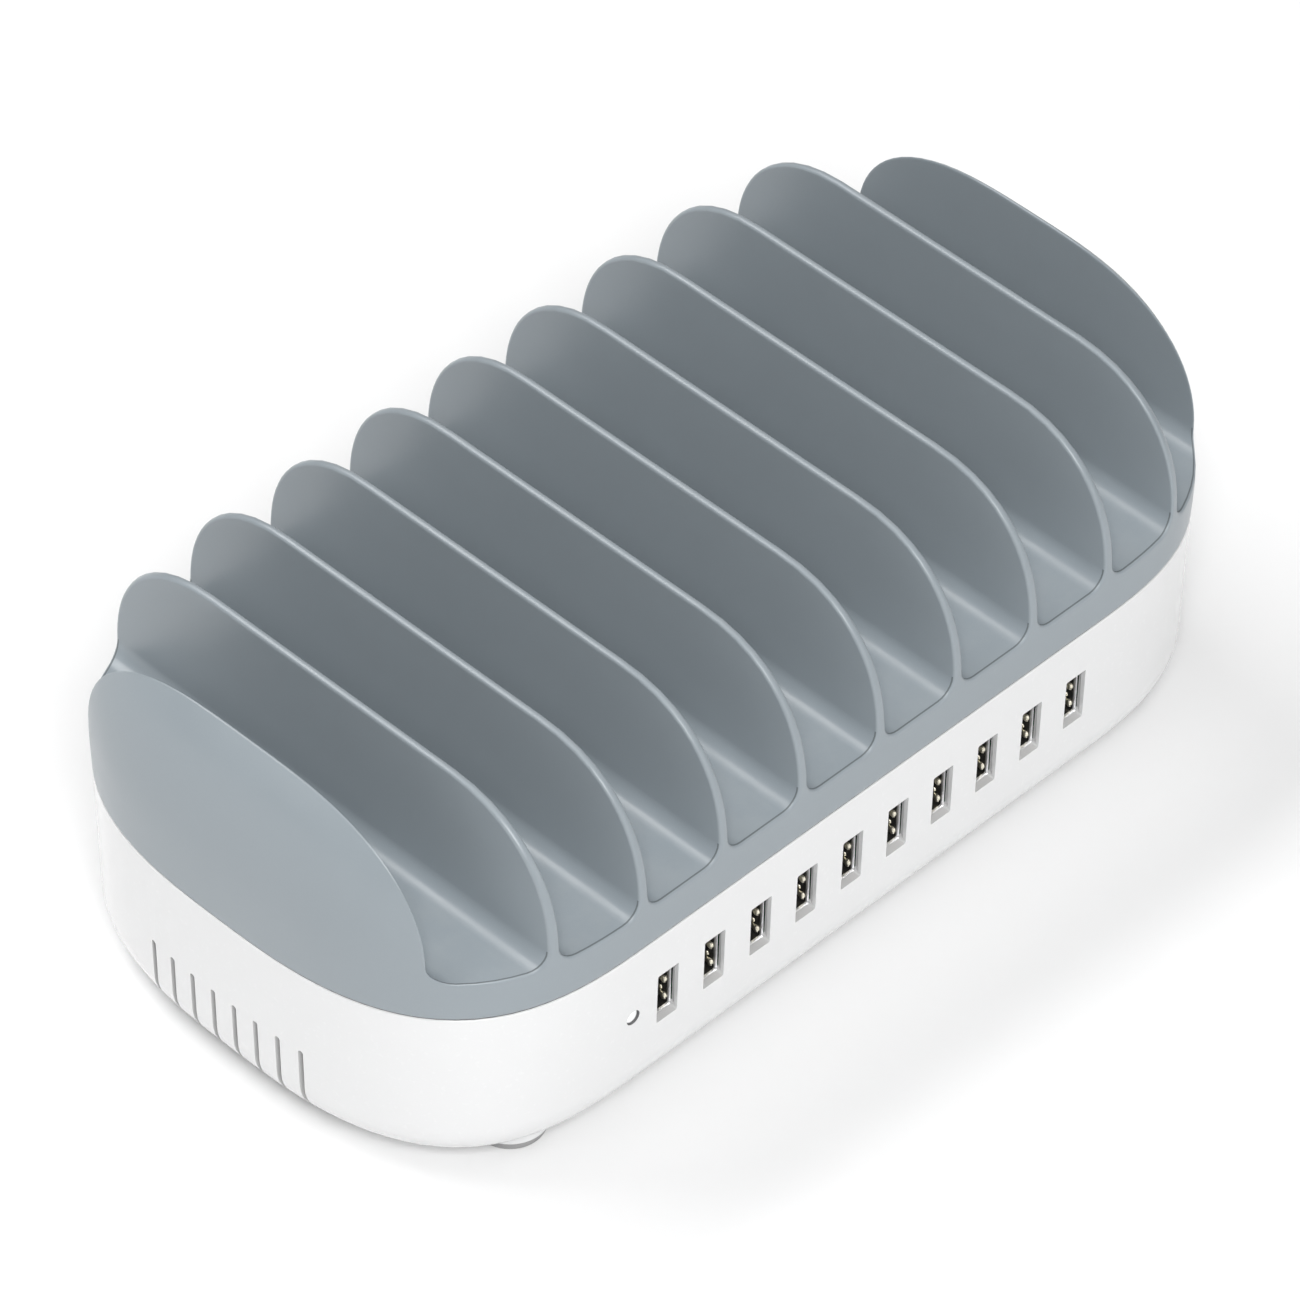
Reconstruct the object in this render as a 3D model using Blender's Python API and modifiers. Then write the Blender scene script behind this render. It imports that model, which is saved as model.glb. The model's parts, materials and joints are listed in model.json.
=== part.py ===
"""A ten-slot USB charging station.

A grey tray with ten device slots closes a white tub. The tub holds the USB sockets along its
front, and the power supply, the mains inlet and the power switch at its rear.

Units are metres. X runs along the long side, the USB sockets face -Y and +Z is up. The origin
is the middle of the footprint, on the surface that the feet stand on.
"""

import math

import bmesh
import bpy
from mathutils import Matrix, Vector

# Clearances that every piece shares
FIT_GAP = 0.0003
OVERRUN = 0.002
ROOT = 0.0008
WELD = 0.00001

# Facets
ROUND_STEPS = 24
SMALL_STEPS = 12
END_STEPS = 12
CREST_STEPS = 8
SWELL_STEPS = 2
TUB_ROUND_STEPS = 5
FILLET_STEPS = 3
SMOOTH_ANGLE = math.radians(35)

# Device slots, which set the length of the station
SLOT_COUNT = 10
SLOT_PITCH = 0.022
SLOT_TOP_WIDTH = 0.0203
SLOT_FLOOR_WIDTH = 0.0196
SLOT_FILLET = 0.004
SLOT_RISE = 0.0103

# Plan outline at the seam between tray and tub
END_CHEEK = 0.009
LENGTH = SLOT_COUNT * SLOT_PITCH + 2 * END_CHEEK
WIDTH = 0.1267
END_ROUND = 0.055
END_EXPONENT = 2.8
HALF_LENGTH = LENGTH / 2
HALF_WIDTH = WIDTH / 2

# Heights
FOOT_HEIGHT = 0.0021
TUB_HEIGHT = 0.043
TRAY_HEIGHT = 0.0431
TUB_Z = FOOT_HEIGHT + FIT_GAP
SEAM_Z = TUB_Z + TUB_HEIGHT
TRAY_Z = SEAM_Z + FIT_GAP
TOP_Z = TRAY_Z + TRAY_HEIGHT
SLOT_FLOOR_Z = TRAY_Z + SLOT_RISE - FIT_GAP

# Tray: it swells above the seam, then rounds over to a flat crest
TRAY_SWELL = 0.0003
SWELL_HEIGHT = 0.012
CREST_SIDE_INSET = 0.029
CREST_SIDE_EXPONENT = 2.3
CREST_END_INSET = 0.0115
CREST_END_EXPONENT = 1.8
CREST_PLAN_EXPONENT = 3.1
TRAY_FLOOR = 0.0022
TRAY_SKIRT = 0.0036
CHEEK_WALL = 0.0024
CHEEK_CORE_HEIGHT = 0.028
LIP_DEPTH = 0.002

# Tub
TUB_WALL = 0.0022
TUB_DRAFT = 0.0007
TUB_ROUND = 0.011
TUB_FLOOR_Z = TUB_Z + TUB_WALL

# Vents at both ends of the tub
VENT_COUNT = 8
VENT_PITCH = 0.006
VENT_WIDTH = 0.00125
VENT_TOP = 0.0211
VENT_REACH = 0.017

# Feet, each over a case screw
FOOT_RADIUS = 0.0076
FOOT_END_INSET = 0.0325
FOOT_SIDE_INSET = 0.0159
FOOT_CHAMFER = 0.0005
PEDESTAL_RIM = 0.0006
PEDESTAL_HEIGHT = 0.004

# Case screws, the towers of the tub and the legs of the tray
SCREW_RADIUS = 0.0013
SCREW_LENGTH = 0.016
SCREW_HEAD_RADIUS = 0.0028
SCREW_HEAD_HEIGHT = 0.0018
COUNTERBORE_DEPTH = 0.006
TOWER_WALL = 0.0015
TOWER_HEIGHT = 0.012
LEG_WALL = 0.002
LEG_BORE_SPARE = 0.002

# USB sockets
PORT_COUNT = 10
PORT_PITCH = 0.013
PORT_WIDTH = 0.0057
PORT_HEIGHT = 0.0132
PORT_DROP = 0.01775
SOCKET_WIDTH = 0.0057
SOCKET_HEIGHT = 0.0131
SOCKET_LENGTH = 0.014
SOCKET_WALL = 0.0003
TONGUE_THICKNESS = 0.0018
TONGUE_HEIGHT = 0.0111
TONGUE_SETBACK = 0.002
TONGUE_BASE = 0.004

# Board that carries the USB sockets and the status light
USB_BOARD_LENGTH = 0.142
USB_BOARD_WIDTH = 0.030
BOARD_THICKNESS = 0.0016
USB_SCREW_INSET_X = 0.010
USB_SCREW_INSET_Y = 0.006
LEDGE_WIDTH = 0.0035
LEDGE_HEIGHT = 0.002

# Status light
LIGHT_STEP = 0.0095
LIGHT_HOLE_RADIUS = 0.00175
LIGHT_SETBACK = 0.001
LIGHT_FLANGE_RIM = 0.001
LIGHT_FLANGE_DEPTH = 0.001
LIGHT_BLOCK_WIDTH = 0.005
LIGHT_BLOCK_DEPTH = 0.006
LIGHT_BLOCK_RISE = 0.0025
LIGHT_BULB_RADIUS = 0.0014
LIGHT_BULB_LENGTH = 0.0015

# Power board and its posts
POWER_BOARD_LENGTH = 0.144
POWER_BOARD_WIDTH = 0.064
POWER_BOARD_Y = 0.006
POWER_BOARD_RISE = 0.0055
POWER_SCREW_INSET = 0.005
POST_RADIUS = 0.003
BOARD_SCREW_RADIUS = 0.0012
BOARD_SCREW_LENGTH = 0.006
BOARD_SCREW_HEAD_RADIUS = 0.0024
BOARD_SCREW_HEAD_HEIGHT = 0.0016
BOARD_BORE_SPARE = 0.001

# Rear pocket with the mains inlet and the switch
POCKET_X = -0.036
POCKET_LENGTH = 0.048
POCKET_HEIGHT = 0.019
POCKET_DEPTH = 0.0045
POCKET_DROP = 0.0189
INLET_OFFSET = -0.0095
SWITCH_OFFSET = 0.0145

# Mains inlet for a figure-eight plug
INLET_LENGTH = 0.019
INLET_HEIGHT = 0.0104
INLET_DEPTH = 0.015
INLET_RIM = 0.0015
FLANGE_THICKNESS = 0.0015
CAVITY_RADIUS = 0.004
CAVITY_NECK = 0.0062
CAVITY_DEPTH = 0.011
CAVITY_STEPS = 12
PIN_PITCH = 0.0086
PIN_RADIUS = 0.0012
PIN_SETBACK = 0.002
PIN_TAIL = 0.004

# Power switch: the rocker's round ends turn about its axis inside the frame
SWITCH_WIDTH = 0.0087
SWITCH_HEIGHT = 0.0134
SWITCH_DEPTH = 0.011
SWITCH_RIM = 0.0009
SWITCH_CAVITY_DEPTH = 0.008
ROCKER_RADIUS = 0.0056
ROCKER_WIDTH = 0.006
ROCKER_GAP = 0.0004
ROCKER_AXIS_DEPTH = 0.003
ROCKER_DIP = 0.0026
ROCKER_FRONT_ANGLE = math.radians(38)
ROCKER_REAR_ANGLE = math.radians(25)
ROCKER_STEPS = 6
ROCKER_TRAVEL = math.radians(24)
AXLE_RADIUS = 0.0008
AXLE_REACH = 0.0007
TERMINAL_WIDTH = 0.004
TERMINAL_THICKNESS = 0.0008
TERMINAL_LENGTH = 0.011
TERMINAL_PITCH = 0.0064

# Parts of the power supply: length, width and height, or radius and height
FUSE_RADIUS = 0.0026
FUSE_LENGTH = 0.020
X_CAPACITOR = (0.018, 0.0085, 0.0145)
CHOKE = (0.018, 0.015, 0.019)
CHOKE_WINDOW = 0.006
BRIDGE = (0.0036, 0.022, 0.018)
BULK_RADIUS = 0.009
BULK_HEIGHT = 0.030
OUTPUT_RADIUS = 0.005
OUTPUT_HEIGHT = 0.021
CAN_CHAMFER = 0.0006
CORE = (0.030, 0.012, 0.026)
WINDING = (0.020, 0.026, 0.017)
SINK_HEIGHT = 0.026
SINK_LENGTH = 0.034
SINK_PLATE = 0.002
SINK_FIN_DEPTH = 0.006
SINK_FIN_COUNT = 5

# Where they stand on the power board, as shares of its half length and half width
FUSE_SHARES = (-0.83, 0.64)
X_CAPACITOR_SHARES = (-0.56, 0.60)
CHOKE_SHARES = (-0.56, -0.12)
BRIDGE_SHARES = (-0.84, -0.10)
BULK_SHARES = (-0.25, 0.05)
PRIMARY_SINK_SHARES = (0.02, 0.0)
TRANSFORMER_SHARES = (0.28, 0.0)
SECONDARY_SINK_SHARES = (0.56, 0.0)
OUTPUT_SHARES = ((0.82, 0.42), (0.82, -0.14))

# Wires inside the case
WIRE_RADIUS = 0.0009
WIRE_LEAD = 0.003
WIRE_BEND = 0.005
WIRE_POINTS = 5
DC_WIRE_X = 0.052
DC_WIRE_STEP = 0.004
DC_WIRE_ARCH = 0.005

# Heights and radii that several pieces share
PORT_Z = SEAM_Z - PORT_DROP
POCKET_Z = SEAM_Z - POCKET_DROP
INLET_X = POCKET_X + INLET_OFFSET
SWITCH_X = POCKET_X + SWITCH_OFFSET
FOOT_X = HALF_LENGTH - FOOT_END_INSET
FOOT_Y = HALF_WIDTH - FOOT_SIDE_INSET
TOWER_TOP_Z = TUB_Z + TOWER_HEIGHT
SCREW_SEAT_Z = TUB_Z + COUNTERBORE_DEPTH
SCREW_HOLE_RADIUS = SCREW_RADIUS + FIT_GAP
BOARD_HOLE_RADIUS = BOARD_SCREW_RADIUS + FIT_GAP
USB_BOARD_TOP = PORT_Z - SOCKET_HEIGHT / 2 - FIT_GAP
USB_BOARD_Z = USB_BOARD_TOP - BOARD_THICKNESS
POWER_BOARD_Z = TUB_FLOOR_Z + POWER_BOARD_RISE
POWER_BOARD_TOP = POWER_BOARD_Z + BOARD_THICKNESS
COMPONENT_Z = POWER_BOARD_TOP + FIT_GAP
COUNTERBORE_RADIUS = SCREW_HEAD_RADIUS + FIT_GAP
TOWER_RADIUS = COUNTERBORE_RADIUS + TOWER_WALL
LEG_RADIUS = SCREW_HOLE_RADIUS + LEG_WALL


# Walls and rows, for the places of what stands against them


def row(count, pitch):
    """Places of a row that lies evenly about zero."""
    return [(index - (count - 1) / 2) * pitch for index in range(count)]


def corners(half_x, half_y, middle_y=0):
    """The four corners of a rectangle, the first and last of them diagonal to each other."""
    return [(x, middle_y + y) for x in (-half_x, half_x) for y in (-half_y, half_y)]


def outline_half_width(x):
    """Half the width of the plan outline at a place along the station."""
    beyond = max(0, abs(x) - (HALF_LENGTH - END_ROUND)) / END_ROUND
    return HALF_WIDTH * (1 - beyond**END_EXPONENT) ** (1 / END_EXPONENT)


def tub_inset(z):
    """How far the tub's outer face has drawn in from the seam at a height."""
    round_z = TUB_Z + TUB_ROUND
    if z >= round_z:
        return TUB_DRAFT * (SEAM_Z - z) / (SEAM_Z - round_z)
    drop = min((round_z - z) / TUB_ROUND, 1)
    return TUB_DRAFT + TUB_ROUND * (1 - math.sqrt(1 - drop**2))


def inner_wall_y(x, z):
    """Distance of the tub's inner face from the middle, on its long sides."""
    return outline_half_width(x) - tub_inset(z) - TUB_WALL


PORTS = row(PORT_COUNT, PORT_PITCH)
LIGHT_X = PORTS[0] - LIGHT_STEP
FEET = corners(FOOT_X, FOOT_Y)

# Rear panel: the pocket's floor, the faces of what is set in it and the rocker's axis
PANEL_Y = HALF_WIDTH - tub_inset(POCKET_Z) - POCKET_DEPTH
FLANGE_Y = PANEL_Y + FIT_GAP
FACE_Y = FLANGE_Y + FLANGE_THICKNESS
AXIS_Y = FACE_Y - ROCKER_AXIS_DEPTH

# Boards and sockets stand just clear of the front wall
SOCKET_Y = FIT_GAP - inner_wall_y(0, PORT_Z - PORT_HEIGHT / 2)
USB_BOARD_Y = FIT_GAP - inner_wall_y(USB_BOARD_LENGTH / 2, USB_BOARD_Z)
USB_BOARD_LOW = (-USB_BOARD_LENGTH / 2, USB_BOARD_Y, USB_BOARD_Z)
USB_BOARD_HIGH = (USB_BOARD_LENGTH / 2, USB_BOARD_Y + USB_BOARD_WIDTH, USB_BOARD_TOP)
USB_SCREW_X = USB_BOARD_LENGTH / 2 - USB_SCREW_INSET_X
USB_SCREW_Y = USB_BOARD_Y + USB_BOARD_WIDTH - USB_SCREW_INSET_Y
USB_SCREWS = [(-USB_SCREW_X, USB_SCREW_Y), (USB_SCREW_X, USB_SCREW_Y)]
POWER_HALF_X = POWER_BOARD_LENGTH / 2
POWER_HALF_Y = POWER_BOARD_WIDTH / 2
POWER_BOARD_LOW = (-POWER_HALF_X, POWER_BOARD_Y - POWER_HALF_Y, POWER_BOARD_Z)
POWER_BOARD_HIGH = (POWER_HALF_X, POWER_BOARD_Y + POWER_HALF_Y, POWER_BOARD_TOP)
POWER_POSTS = corners(POWER_HALF_X - POWER_SCREW_INSET, POWER_HALF_Y - POWER_SCREW_INSET, POWER_BOARD_Y)
POWER_SCREWS = [POWER_POSTS[0], POWER_POSTS[-1]]


# Scene, collections and materials


def clear_scene():
    for obj in list(bpy.data.objects):
        bpy.data.objects.remove(obj, do_unlink=True)


def new_collection(name, parent):
    group = bpy.data.collections.new(name)
    parent.children.link(group)
    return group


def finish(name, colour, roughness, metallic=0.0):
    """A Principled material of one colour."""
    material = bpy.data.materials.new(name)
    material.use_nodes = True
    shader = material.node_tree.nodes["Principled BSDF"]
    shader.inputs["Base Color"].default_value = (*colour, 1)
    shader.inputs["Roughness"].default_value = roughness
    shader.inputs["Metallic"].default_value = metallic
    material.diffuse_color = (*colour, 1)
    return material


clear_scene()
STATION = new_collection("usb_charging_station", bpy.context.scene.collection)
TOOLS = new_collection("cutters", bpy.context.scene.collection)

TRAY_GREY = finish("tray_grey", (0.23, 0.28, 0.31), 0.5)
TUB_WHITE = finish("tub_white", (0.85, 0.86, 0.87), 0.25)
FOOT_GREY = finish("foot_grey", (0.30, 0.31, 0.32), 0.8)
SCREW_STEEL = finish("screw_steel", (0.55, 0.55, 0.56), 0.35, 1.0)
SOCKET_STEEL = finish("socket_steel", (0.62, 0.62, 0.63), 0.3, 1.0)
TONGUE_BLACK = finish("tongue_black", (0.02, 0.02, 0.02), 0.5)
BOARD_GREEN = finish("board_green", (0.02, 0.16, 0.07), 0.45)
INLET_BLACK = finish("inlet_black", (0.015, 0.015, 0.016), 0.4)
ROCKER_BLACK = finish("rocker_black", (0.02, 0.02, 0.022), 0.35)
PIN_NICKEL = finish("pin_nickel", (0.70, 0.68, 0.62), 0.25, 1.0)
LIGHT_CLEAR = finish("light_clear", (0.90, 0.92, 0.93), 0.2)
FUSE_BODY = finish("fuse_ceramic", (0.80, 0.78, 0.72), 0.5)
CAPACITOR_YELLOW = finish("capacitor_yellow", (0.75, 0.50, 0.06), 0.4)
CAPACITOR_SLEEVE = finish("capacitor_sleeve", (0.02, 0.03, 0.07), 0.35)
FERRITE_GREY = finish("ferrite_grey", (0.06, 0.06, 0.065), 0.6)
RESIN_BLACK = finish("resin_black", (0.02, 0.02, 0.02), 0.5)
SINK_ALUMINIUM = finish("sink_aluminium", (0.60, 0.61, 0.62), 0.4, 1.0)
WIRE_BROWN = finish("wire_brown", (0.16, 0.06, 0.03), 0.5)
WIRE_BLUE = finish("wire_blue", (0.03, 0.10, 0.40), 0.5)
WIRE_RED = finish("wire_red", (0.45, 0.02, 0.02), 0.5)
WIRE_BLACK = finish("wire_black", (0.02, 0.02, 0.02), 0.5)


# Meshes


def mesh_from(shape, name):
    mesh = bpy.data.meshes.new(name)
    shape.to_mesh(mesh)
    shape.free()
    return mesh


def box_mesh(name, low, high):
    """A box between two opposite corners."""
    low, high = Vector(low), Vector(high)
    place = Matrix.Translation((low + high) / 2) @ Matrix.Diagonal((high - low).to_4d())
    shape = bmesh.new()
    bmesh.ops.create_cube(shape, size=1, matrix=place)
    return mesh_from(shape, name)


def standing_box(name, size, x, y, z):
    """A box of a length, width and height, standing on a height."""
    length, width, height = size
    low = (x - length / 2, y - width / 2, z)
    return box_mesh(name, low, (x + length / 2, y + width / 2, z + height))


def rod_mesh(name, radius, start, end, steps=ROUND_STEPS):
    """A round rod from one point to another."""
    start, end = Vector(start), Vector(end)
    along = end - start
    turn = Vector((0, 0, 1)).rotation_difference(along).to_matrix().to_4x4()
    place = Matrix.Translation((start + end) / 2) @ turn
    shape = bmesh.new()
    bmesh.ops.create_cone(
        shape, cap_ends=True, segments=steps, radius1=radius, radius2=radius, depth=along.length, matrix=place
    )
    return mesh_from(shape, name)


def loft_mesh(name, rings, open_top=False):
    """A skin over level rings that run anticlockwise, lowest ring first."""
    shape = bmesh.new()
    levels = [[shape.verts.new(point) for point in ring] for ring in rings]
    for lower, upper in zip(levels, levels[1:]):
        for index in range(len(lower)):
            after = (index + 1) % len(lower)
            shape.faces.new((lower[index], lower[after], upper[after], upper[index]))
    shape.faces.new(reversed(levels[0]))
    if not open_top:
        shape.faces.new(levels[-1])
    return mesh_from(shape, name)


def curve_mesh(name, curve):
    """The welded mesh of a curve."""
    holder = bpy.data.objects.new(name, curve)
    TOOLS.objects.link(holder)
    seen = holder.evaluated_get(bpy.context.evaluated_depsgraph_get())
    mesh = bpy.data.meshes.new_from_object(seen)
    bpy.data.objects.remove(holder, do_unlink=True)
    shape = bmesh.new()
    shape.from_mesh(mesh)
    bmesh.ops.remove_doubles(shape, verts=shape.verts, dist=WELD)
    shape.to_mesh(mesh)
    shape.free()
    mesh.name = name
    return mesh


def flat_mesh(name, outline, thickness):
    """A flat outline in the XY plane, with its thickness evenly about that plane."""
    curve = bpy.data.curves.new(name, "CURVE")
    curve.dimensions = "2D"
    curve.fill_mode = "BOTH"
    curve.extrude = thickness / 2
    spline = curve.splines.new("POLY")
    spline.points.add(len(outline) - 1)
    for point, (x, y) in zip(spline.points, outline):
        point.co = (x, y, 0, 1)
    spline.use_cyclic_u = True
    return curve_mesh(name, curve)


# Turns that stand a flat outline up: its own X and Y become X and Z, or Y and Z
FACING_FRONT = Matrix.Rotation(math.pi / 2, 4, "X")
FACING_SIDE = Matrix.Rotation(math.pi / 2, 4, "Z") @ FACING_FRONT


def turned(obj, steps=ROUND_STEPS):
    """Turns an object's profile about its own Z axis."""
    screw = obj.modifiers.new("turn", "SCREW")
    screw.steps = steps
    screw.render_steps = steps
    screw.use_merge_vertices = True
    screw.merge_threshold = WELD
    return obj


def profile_mesh(name, profile):
    """An open line of radius and height, from the top of the piece down its outer side."""
    mesh = bpy.data.meshes.new(name)
    points = [(radius, 0, height) for radius, height in profile]
    mesh.from_pydata(points, [(index, index + 1) for index in range(len(points) - 1)], [])
    return mesh


def arc(centre_x, centre_y, radius, start, end, steps):
    """Points along an arc, with both its ends."""
    angles = [start + (end - start) * step / steps for step in range(steps + 1)]
    return [(centre_x + radius * math.cos(a), centre_y + radius * math.sin(a)) for a in angles]


# Objects


def part(name, mesh, material, location=(0, 0, 0), rotation=(0, 0, 0)):
    """One piece of the station."""
    obj = bpy.data.objects.new(name, mesh)
    obj.location = location
    obj.rotation_euler = rotation
    if not mesh.materials:
        mesh.materials.append(material)
    STATION.objects.link(obj)
    return obj


def tool(mesh, group):
    """A shape that is cut from a piece or joined to it."""
    obj = bpy.data.objects.new(mesh.name, mesh)
    obj.hide_render = True
    obj.display_type = "WIRE"
    group.objects.link(obj)
    return obj


def combine(target, operation, meshes, objects=()):
    """Joins shapes to a piece, or cuts them from it."""
    group = new_collection(f"{target.name}_{operation.lower()}", TOOLS)
    for mesh in meshes:
        tool(mesh, group)
    for obj in objects:
        group.objects.link(obj)
    change = target.modifiers.new(operation.lower(), "BOOLEAN")
    change.operation = operation
    change.operand_type = "COLLECTION"
    change.collection = group


def shade_round(obj):
    obj.data.shade_smooth()
    obj.data.set_sharp_from_angle(angle=SMOOTH_ANGLE)
    return obj


# Plan outline


def quarter_outline(exponent):
    """Points and outward normals of the outline's +X +Y quarter, from the end to the side."""
    flat = HALF_LENGTH - END_ROUND
    quarter = []
    for step in range(END_STEPS + 1):
        angle = math.pi / 2 * step / END_STEPS
        along = math.cos(angle) if step < END_STEPS else 0
        across = math.sin(angle)
        pull = (along / END_ROUND) ** exponent + (across / HALF_WIDTH) ** exponent
        reach = pull ** (-1 / exponent)
        x, y = reach * along, reach * across
        normal_x = (x / END_ROUND) ** (exponent - 1) / END_ROUND
        normal_y = (y / HALF_WIDTH) ** (exponent - 1) / HALF_WIDTH
        quarter.append((flat + x, y, normal_x, normal_y))
    return quarter


def ring(half_length, half_width, z, inset=0, exponent=END_EXPONENT):
    """The plan outline at a height, stretched to its half sizes and then drawn in by an inset."""
    stretch_x, stretch_y = half_length / HALF_LENGTH, half_width / HALF_WIDTH
    corner = []
    for x, y, normal_x, normal_y in quarter_outline(exponent):
        normal = Vector((normal_x / stretch_x, normal_y / stretch_y)).normalized()
        corner.append((x * stretch_x - normal.x * inset, y * stretch_y - normal.y * inset))
    points = list(corner)
    points += [(-x, y) for x, y in reversed(corner)]
    points += [(-x, -y) for x, y in corner[1:]]
    points += [(x, -y) for x, y in reversed(corner[1:])]
    return [(x, y, z) for x, y in points]


# Tray


def tray_ring(z, inset=0):
    """The tray's outline at a height: swollen low down, then rounded over to a squarer crest."""
    height = z - TRAY_Z
    swell = TRAY_SWELL * math.sin(math.pi / 2 * min(height / SWELL_HEIGHT, 1))
    share = max(0, min((height - SWELL_HEIGHT) / (TRAY_HEIGHT - SWELL_HEIGHT), 1))
    end_share = 1 - (1 - share**CREST_END_EXPONENT) ** (1 / CREST_END_EXPONENT)
    side_share = 1 - (1 - share**CREST_SIDE_EXPONENT) ** (1 / CREST_SIDE_EXPONENT)
    half_length = HALF_LENGTH + swell - CREST_END_INSET * end_share
    half_width = HALF_WIDTH + swell - CREST_SIDE_INSET * side_share
    exponent = END_EXPONENT + (CREST_PLAN_EXPONENT - END_EXPONENT) * share
    return ring(half_length, half_width, z, inset, exponent)


def crest_heights(top_share=1):
    """Heights of the rings from the widest level up to a share of the crest's rise."""
    rise = TRAY_HEIGHT - SWELL_HEIGHT
    steps = [math.sin(math.pi / 2 * step / CREST_STEPS) for step in range(1, CREST_STEPS + 1)]
    return [TRAY_Z + SWELL_HEIGHT + rise * min(step, top_share) for step in steps if step <= top_share]


def tray_hull():
    swell_heights = [TRAY_Z + SWELL_HEIGHT * step / SWELL_STEPS for step in range(SWELL_STEPS + 1)]
    return loft_mesh("tray_hull", [tray_ring(z) for z in swell_heights + crest_heights()])


def slot_cutter(x):
    """The trough of one slot: straight drafted walls down to a flat floor with round corners."""
    slope = (SLOT_TOP_WIDTH - SLOT_FLOOR_WIDTH) / 2 / (TOP_Z - SLOT_FLOOR_Z)
    top_z = TOP_Z + OVERRUN
    top_half = SLOT_TOP_WIDTH / 2 + slope * OVERRUN
    corner_x = SLOT_FLOOR_WIDTH / 2 - SLOT_FILLET
    corner_z = SLOT_FLOOR_Z + SLOT_FILLET
    right = [(top_half, top_z)]
    right += arc(corner_x, corner_z, SLOT_FILLET, 0, -math.pi / 2, FILLET_STEPS)
    outline = right + [(-px, pz) for px, pz in reversed(right)]
    mesh = flat_mesh("slot_cutter", outline, WIDTH + 2 * (TRAY_SWELL + OVERRUN))
    mesh.transform(Matrix.Translation((x, 0, 0)) @ FACING_FRONT)
    return mesh


def tray_hollow():
    """The space under the tray's floor, down to the end of its lip."""
    levels = (TRAY_Z - LIP_DEPTH - OVERRUN, SLOT_FLOOR_Z - TRAY_FLOOR)
    return loft_mesh("tray_hollow", [ring(HALF_LENGTH, HALF_WIDTH, z, TRAY_SKIRT) for z in levels])


def tray_lip():
    """The lip that hangs inside the tub's rim, rooted in the skirt."""
    inset = TUB_WALL + TUB_DRAFT * LIP_DEPTH / TUB_HEIGHT + FIT_GAP
    levels = (TRAY_Z - LIP_DEPTH, TRAY_Z + ROOT)
    return loft_mesh("tray_lip", [ring(HALF_LENGTH, HALF_WIDTH, z, inset) for z in levels])


def cheek_cores():
    """The pockets that thin both end cheeks from below: a smaller hull without its middle."""
    share = (CHEEK_CORE_HEIGHT - SWELL_HEIGHT) / (TRAY_HEIGHT - SWELL_HEIGHT)
    heights = [SLOT_FLOOR_Z - TRAY_FLOOR - ROOT] + crest_heights(share)
    cores = tool(loft_mesh("cheek_cores", [tray_ring(z, TRAY_SKIRT) for z in heights]), TOOLS)
    inner = SLOT_COUNT * SLOT_PITCH / 2 + CHEEK_WALL
    trim = cores.modifiers.new("trim", "BOOLEAN")
    trim.object = tool(box_mesh("cheek_trim", (-inner, -WIDTH, 0), (inner, WIDTH, 2 * TOP_Z)), TOOLS)
    return cores


def make_tray():
    tray = part("top_tray", tray_hull(), TRAY_GREY)
    leg_z = TOWER_TOP_Z + FIT_GAP
    bore_z = leg_z - OVERRUN
    bore_top = SCREW_SEAT_Z + SCREW_LENGTH + LEG_BORE_SPARE
    legs = []
    bores = []
    for x, y in FEET:
        legs.append(rod_mesh("leg", LEG_RADIUS, (x, y, leg_z), (x, y, SLOT_FLOOR_Z - TRAY_FLOOR + ROOT)))
        bores.append(rod_mesh("leg_bore", SCREW_HOLE_RADIUS, (x, y, bore_z), (x, y, bore_top), SMALL_STEPS))
    slots = [slot_cutter(x) for x in row(SLOT_COUNT, SLOT_PITCH)]
    combine(tray, "UNION", [tray_lip()])
    combine(tray, "DIFFERENCE", [tray_hollow()], [cheek_cores()])
    combine(tray, "UNION", legs)
    combine(tray, "DIFFERENCE", slots + bores)
    return shade_round(tray)


# Tub


def tub_skin():
    """The tub's outer face, open at the seam."""
    round_z = TUB_Z + TUB_ROUND
    turns = [math.pi / 2 * step / TUB_ROUND_STEPS for step in range(TUB_ROUND_STEPS, 0, -1)]
    heights = [round_z - TUB_ROUND * math.sin(turn) for turn in turns] + [round_z, SEAM_Z]
    rings = [ring(HALF_LENGTH, HALF_WIDTH, z, tub_inset(z)) for z in heights]
    return loft_mesh("body_shell", rings, open_top=True)


def through_front(name, outline):
    """A flat outline in X and Z, cut through the front wall."""
    mesh = flat_mesh(name, outline, 2 * (TUB_WALL + TUB_DRAFT + OVERRUN))
    mesh.transform(Matrix.Translation((0, -HALF_WIDTH, 0)) @ FACING_FRONT)
    return mesh


def rectangle(x, z, width, height):
    return [(x + sx * width / 2, z + sz * height / 2) for sx, sz in ((-1, -1), (1, -1), (1, 1), (-1, 1))]


def vent_cutter(side, y):
    """A slit with a round top that runs down an end wall and under the tub."""
    radius = VENT_WIDTH / 2
    outline = arc(y, TUB_Z + VENT_TOP - radius, radius, 0, math.pi, FILLET_STEPS)
    outline += [(y - radius, -OVERRUN), (y + radius, -OVERRUN)]
    mesh = flat_mesh("vent_cutter", outline, VENT_REACH + OVERRUN)
    x = side * (HALF_LENGTH - (VENT_REACH - OVERRUN) / 2)
    mesh.transform(Matrix.Translation((x, 0, 0)) @ FACING_SIDE)
    return mesh


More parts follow.
